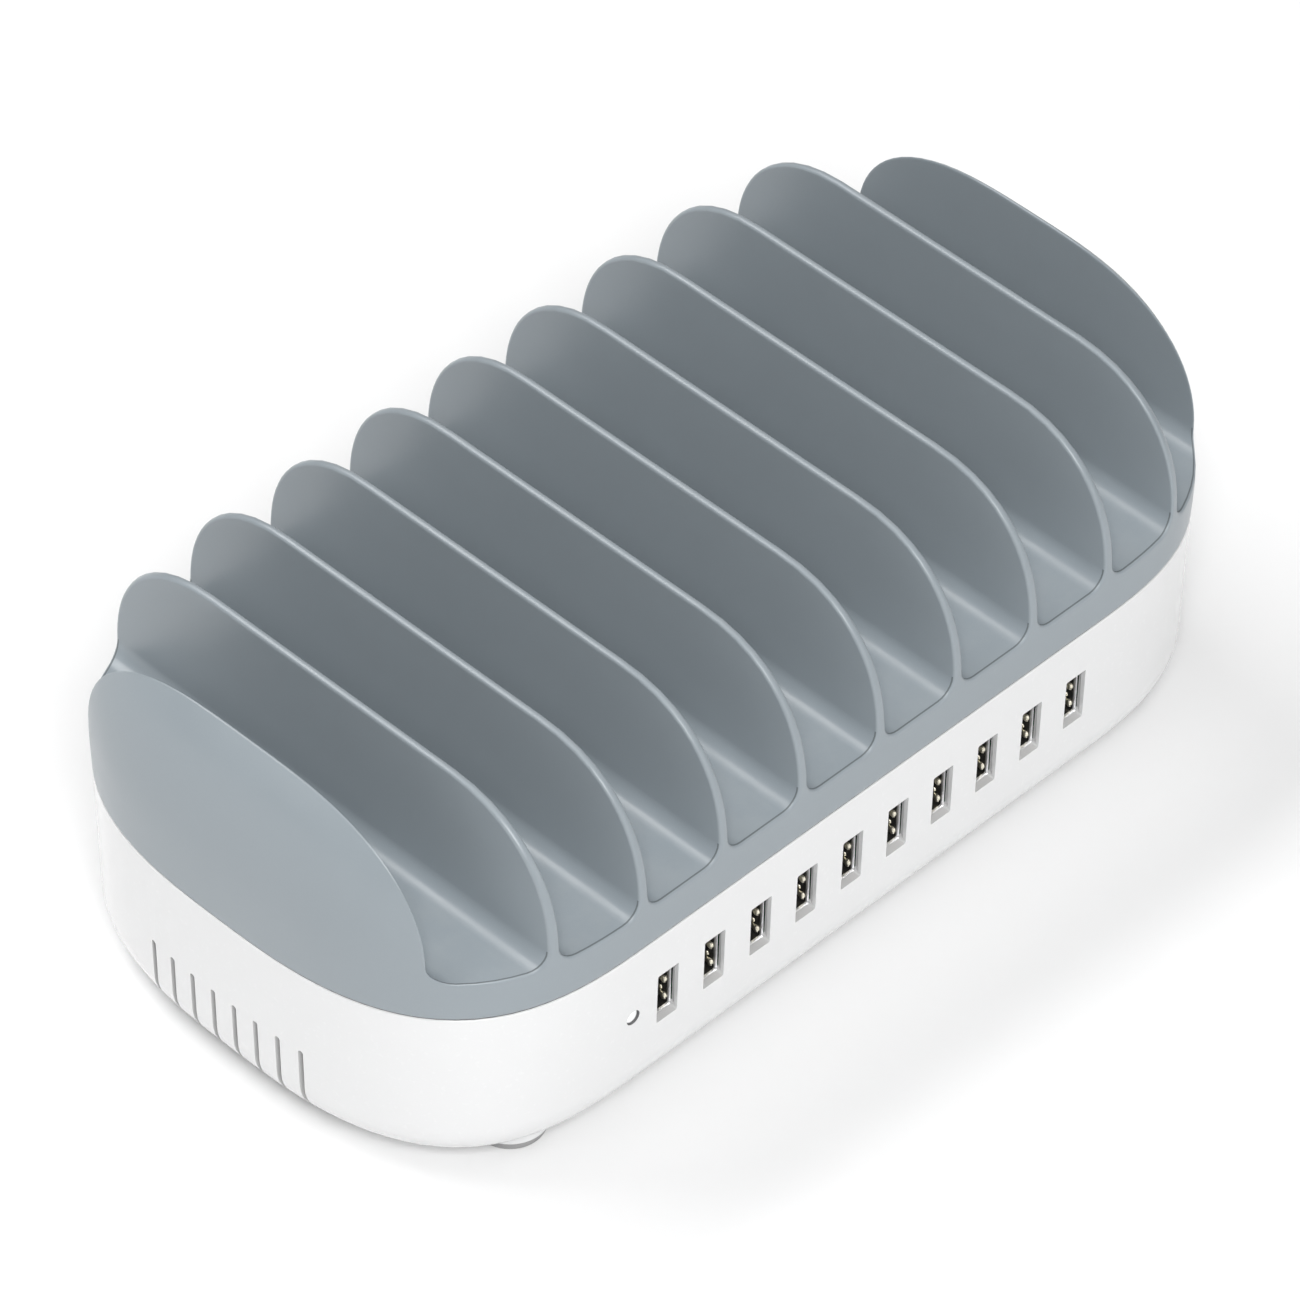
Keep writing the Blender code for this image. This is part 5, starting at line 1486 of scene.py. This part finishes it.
# Radius and depth of an inlet pin's rounded tip
PIN_TIP = [(0, 0), (0.0005, 0.00002), (0.0009, 0.0002), (0.00115, 0.0006), (PIN_RADIUS, 0.0011)]


def on_face(point):
    return point.y > FACE_Y - HAIR


def faceplate(name, x, size, corner, steps=4):
    """The flange of the inlet or of the switch, against the pocket's panel."""
    outline = rounded_outline(*size, corner, steps)
    return link(name, flat_mesh(name, outline, FLANGE_THICK, facing_rear(x, FLANGE_Y, FACE_Y)))


def make_inlet():
    """The inlet with its figure-eight recess."""
    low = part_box("ac_inlet")[0]
    inlet = faceplate("mains_inlet", INLET_X, INLET_FLANGE, INLET_CORNER, 6)
    overlap_y = FLANGE_Y + FLANGE_OVERLAP
    outline = rounded_outline(*INLET_BARREL, BARREL_CORNER)
    barrel = flat_mesh("barrel", outline, overlap_y - low.y, facing_rear(INLET_X, low.y, overlap_y))
    inlet = joined(inlet, "UNION", [link("barrel", barrel)])

    lean = math.pi - math.asin(RECESS_WAIST / RECESS_RADIUS)
    right = arc(PIN_X, 0, RECESS_RADIUS, -lean, lean, 36)
    place = facing_rear(INLET_X, FACE_Y, FACE_Y)
    recess = flat_mesh("recess", right + [(-x, -z) for x, z in right], 2 * RECESS_DEPTH, place)
    cuts = [link("recess", recess)]
    for x in (INLET_X - PIN_X, INLET_X + PIN_X):
        behind, before = (x, low.y - CUT_PAST, POCKET_Z), (x, FACE_Y, POCKET_Z)
        cuts.append(link("pin_hole", rod_mesh("pin_hole", PIN_HOLE_RADIUS, behind, before, 24)))
    inlet = joined(inlet, "DIFFERENCE", cuts)
    round_edges(inlet, on_face, INLET_EDGE)
    dressed(shade_round(inlet), "inlet_black", ["ac_inlet"])


def make_inlet_pins():
    low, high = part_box("inlet_pin_1")
    length = high.y - low.y
    pin = spun_mesh("inlet_pin", PIN_TIP + [(PIN_RADIUS, length), (0, length)], 32)
    pin.transform(Matrix.Rotation(math.pi / 2, 4, "X"))
    row = (2, (INLET_X - PIN_X, high.y, POCKET_Z), (2 * PIN_X, 0, 0))
    pins = in_rows("inlet_pins", pin, FINISH["pin_nickel"], row)
    dressed(shade_round(pins), "pin_nickel", numbered("inlet_pin", 2))


def make_switch():
    """The switch's frame: a flange, a hollow body, and the openings of its axle and terminals."""
    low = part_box("switch_frame")[0]
    switch = faceplate("rocker_switch", SWITCH_X, SWITCH_FRAME, SWITCH_CORNER)
    body = rear_box("switch_body", SWITCH_X, SWITCH_BODY, low.y, FLANGE_Y + FLANGE_OVERLAP)
    switch = joined(switch, "UNION", [link("switch_body", body)])
    well = rear_box("well", SWITCH_X, SWITCH_WELL, FACE_Y - WELL_DEPTH, FACE_Y + CUT_PAST)
    half_x, half_z = TERMINAL_SLIT[0] / 2, TERMINAL_SLIT[1] / 2
    slit_low = Vector((SWITCH_X - half_x, low.y - CUT_PAST, POCKET_Z - half_z))
    slit_high = Vector((SWITCH_X + half_x, FACE_Y - WELL_DEPTH + CUT_PAST, POCKET_Z + half_z))
    reach = SWITCH_BODY[0] / 2 + CUT_PAST
    left, right = (SWITCH_X - reach, AXIS_Y, POCKET_Z), (SWITCH_X + reach, AXIS_Y, POCKET_Z)
    cuts = [link("well", well), link("axle_hole", rod_mesh("axle_hole", AXLE_HOLE_RADIUS, left, right, 24))]
    for rise in (Vector((0, 0, -TERMINAL_Z)), Vector((0, 0, TERMINAL_Z))):
        cuts.append(link("slit", box_mesh("slit", slit_low + rise, slit_high + rise)))
    switch = joined(switch, "DIFFERENCE", cuts)
    round_edges(switch, on_face, SWITCH_EDGE)
    dressed(shade_round(switch), "inlet_black", ["switch_frame"])


# The rocker stands on its axle: its own axis runs along x, and its face looks along y.
ROCKER_TILT = Matrix.Translation((SWITCH_X, AXIS_Y, POCKET_Z)) @ Matrix.Rotation(-ROCKER_REST, 4, "X")


def rocker_face(height):
    """How far the rocker's hollow face stands out from its axle."""
    return ROCKER_WAIST + ROCKER_HOLLOW * (height / ROCKER_HALF) ** 2


def on_rocker_side(point):
    """Whether a place is on the front part of one of the rocker's flat sides."""
    return point.y > ROCKER_EDGE_Y and abs(abs(point.x) - ROCKER_WIDTH / 2) < HAIR


def make_rocker():
    """The rocker with its axle, in its rest tilt."""
    front, rear = math.radians(52), math.radians(115)
    heights = [ROCKER_HALF * step / 10 for step in (-9.5, -8, -6, -4, -2, 0, 2, 4, 6, 8, 9.5)]
    outline = [(rocker_face(height), height) for height in heights]
    outline += arc(0, 0, ROCKER_BACK, front, rear, 14) + arc(0, 0, ROCKER_BACK, -rear, -front, 14)
    rocker = link("rocker", flat_mesh("rocker", outline, ROCKER_WIDTH, FACING_SIDE))
    axle = rod_mesh("axle", AXLE_RADIUS, (-AXLE_HALF, 0, 0), (AXLE_HALF, 0, 0), 24)
    rocker = joined(rocker, "UNION", [link("axle", axle)])
    round_edges(rocker, on_rocker_side, ROCKER_EDGE)
    rocker.data.transform(ROCKER_TILT)
    dressed(shade_round(rocker), "rocker_black", ["switch_rocker"], "rocker")


def off_ring():
    """The ring of the rocker's off mark, flat about zero."""
    shape = bmesh.new()
    levels = []
    for radius, z in ((RING_RADIUS, -1), (RING_RADIUS, 1), (RING_HOLE, 1), (RING_HOLE, -1)):
        ring = [shape.verts.new((x, y, z * MARK_THICK / 2)) for x, y in circle(0, 0, radius, 40)]
        levels.append(ring)
    loft(shape, levels + levels[:1])
    bmesh.ops.recalc_face_normals(shape, faces=shape.faces)
    return mesh_of("off_ring", shape)


def on_bar():
    """The bar of the rocker's on mark, flat about zero."""
    heights = [BAR_HALF_HEIGHT * step / 3 for step in range(-3, 4)]
    outline = [(BAR_HALF_WIDTH, height) for height in heights]
    outline += [(-BAR_HALF_WIDTH, height) for height in reversed(heights)]
    return flat_mesh("on_bar", outline, MARK_THICK, Matrix())


def make_marks():
    """A plain ring and bar for off and on, laid on the rocker's hollow face."""
    for name, mesh, middle in (("off_mark", off_ring(), -MARK_Z), ("on_mark", on_bar(), MARK_Z)):
        for vert in mesh.vertices:
            height = middle + vert.co.y
            vert.co = (-vert.co.x, rocker_face(height) + MARK_LIFT + vert.co.z, height)
        mesh.transform(ROCKER_TILT)
        dressed(link(name, mesh), "rocker_black", [], "rocker", MARK_WHITE)


def finish_solids():
    """The solids that still show take the finish of their slot."""
    for part in frame["record"]["subparts"]:
        shown = frame["nodes"][part["node"]]
        if not shown.hide_render:
            shown.data.materials.clear()
            shown.data.materials.append(FINISH[part["material_slot"]])


# Floor, light and camera

FLOOR_HALF = 6
FLOOR_TONES = (0.88, 0.88, 0.88), (0.885, 0.885, 0.885)
SURROUND = 0.155
AIM = Vector((0, 0, 0.04))
# Each softbox has its direction and distance from the station, its width and height, and its power.
SOFTBOXES = {
    "front left softbox": ((-0.42, -0.54, 0.73), 3.0, (1.3, 1.1), 64.0),
    "front softbox": ((0.1, -1.0, 0.3), 2.4, (2.0, 0.8), 11.0),
    "ceiling softbox": ((0.05, -0.1, 1.0), 2.4, (2.2, 1.6), 9.0),
    "far overhead softbox": ((-0.15, 0.54, 0.78), 2.0, (1.6, 0.6), 23.0),
    "left rear softbox": ((-0.82, 0.33, 0.46), 1.8, (0.5, 0.8), 1.2),
}
# The photograph's own viewpoint, worked out from the station's slots and sockets
CAMERA_PLACE = (-0.857931, -0.837591, 1.191577)
CAMERA_AZIMUTH = math.radians(-45.679)
CAMERA_RISE = math.radians(43.895)
CAMERA_ROLL = math.radians(0.763)
CAMERA_LENS = 228.218


def make_stage():
    """A plain pale floor."""
    shape = bmesh.new()
    bmesh.ops.create_grid(shape, x_segments=1, y_segments=1, size=FLOOR_HALF)
    floor = link("floor", mesh_of("floor", shape))
    material, tree, shader, vector = new_material("studio floor")
    tone = blend_colours(tree, noise(tree, vector, 30.0, 2.0), *FLOOR_TONES)
    wire(tree, (tone, shader.inputs["Base Color"]))
    shader.inputs["Roughness"].default_value = 0.9
    shader.inputs["Specular IOR Level"].default_value = 0.1
    floor.data.materials.append(material)


def make_softbox(name, toward, distance, size, power):
    """A soft panel of light that faces the station."""
    lamp = bpy.data.lights.new(name, "AREA")
    lamp.shape = "RECTANGLE"
    lamp.size, lamp.size_y = size
    lamp.energy = power
    place = Vector(toward).normalized() * distance
    aim = (AIM - place).to_track_quat("-Z", "Y").to_matrix().to_4x4()
    link(name, lamp).matrix_world = Matrix.Translation(place) @ aim


def make_studio():
    """Even white surroundings and the softboxes."""
    world = bpy.data.worlds.new("studio")
    world.use_nodes = True
    background = world.node_tree.nodes["Background"]
    background.inputs["Color"].default_value = (1.0, 1.0, 1.0, 1)
    background.inputs["Strength"].default_value = SURROUND
    bpy.context.scene.world = world
    bpy.context.scene.view_settings.view_transform = "Standard"
    for name, settings in SOFTBOXES.items():
        make_softbox(name, *settings)


def make_camera():
    azimuth, rise, roll = CAMERA_AZIMUTH, CAMERA_RISE, CAMERA_ROLL
    away = Vector((math.sin(azimuth), -math.cos(azimuth), 0))
    back = away * math.cos(rise) + Vector((0, 0, math.sin(rise)))
    level = Vector((math.cos(azimuth), math.sin(azimuth), 0))
    above = back.cross(level)
    right = level * math.cos(roll) + above * math.sin(roll)
    up = above * math.cos(roll) - level * math.sin(roll)
    camera = bpy.data.cameras.new("camera")
    camera.sensor_width = 36
    camera.lens = CAMERA_LENS
    camera.clip_end = 20
    holder = link("camera", camera)
    turn = Matrix((right, up, back)).transposed().to_4x4()
    holder.matrix_world = Matrix.Translation(CAMERA_PLACE) @ turn
    bpy.context.scene.camera = holder


make_camera()
make_stage()
make_studio()
make_tray()
make_tub()
make_shells()
make_springs()
make_tongues()
make_status_lens()
make_feet()
make_case_screws()
make_board_screws()
make_inlet()
make_inlet_pins()
make_switch()
make_rocker()
make_marks()
finish_solids()
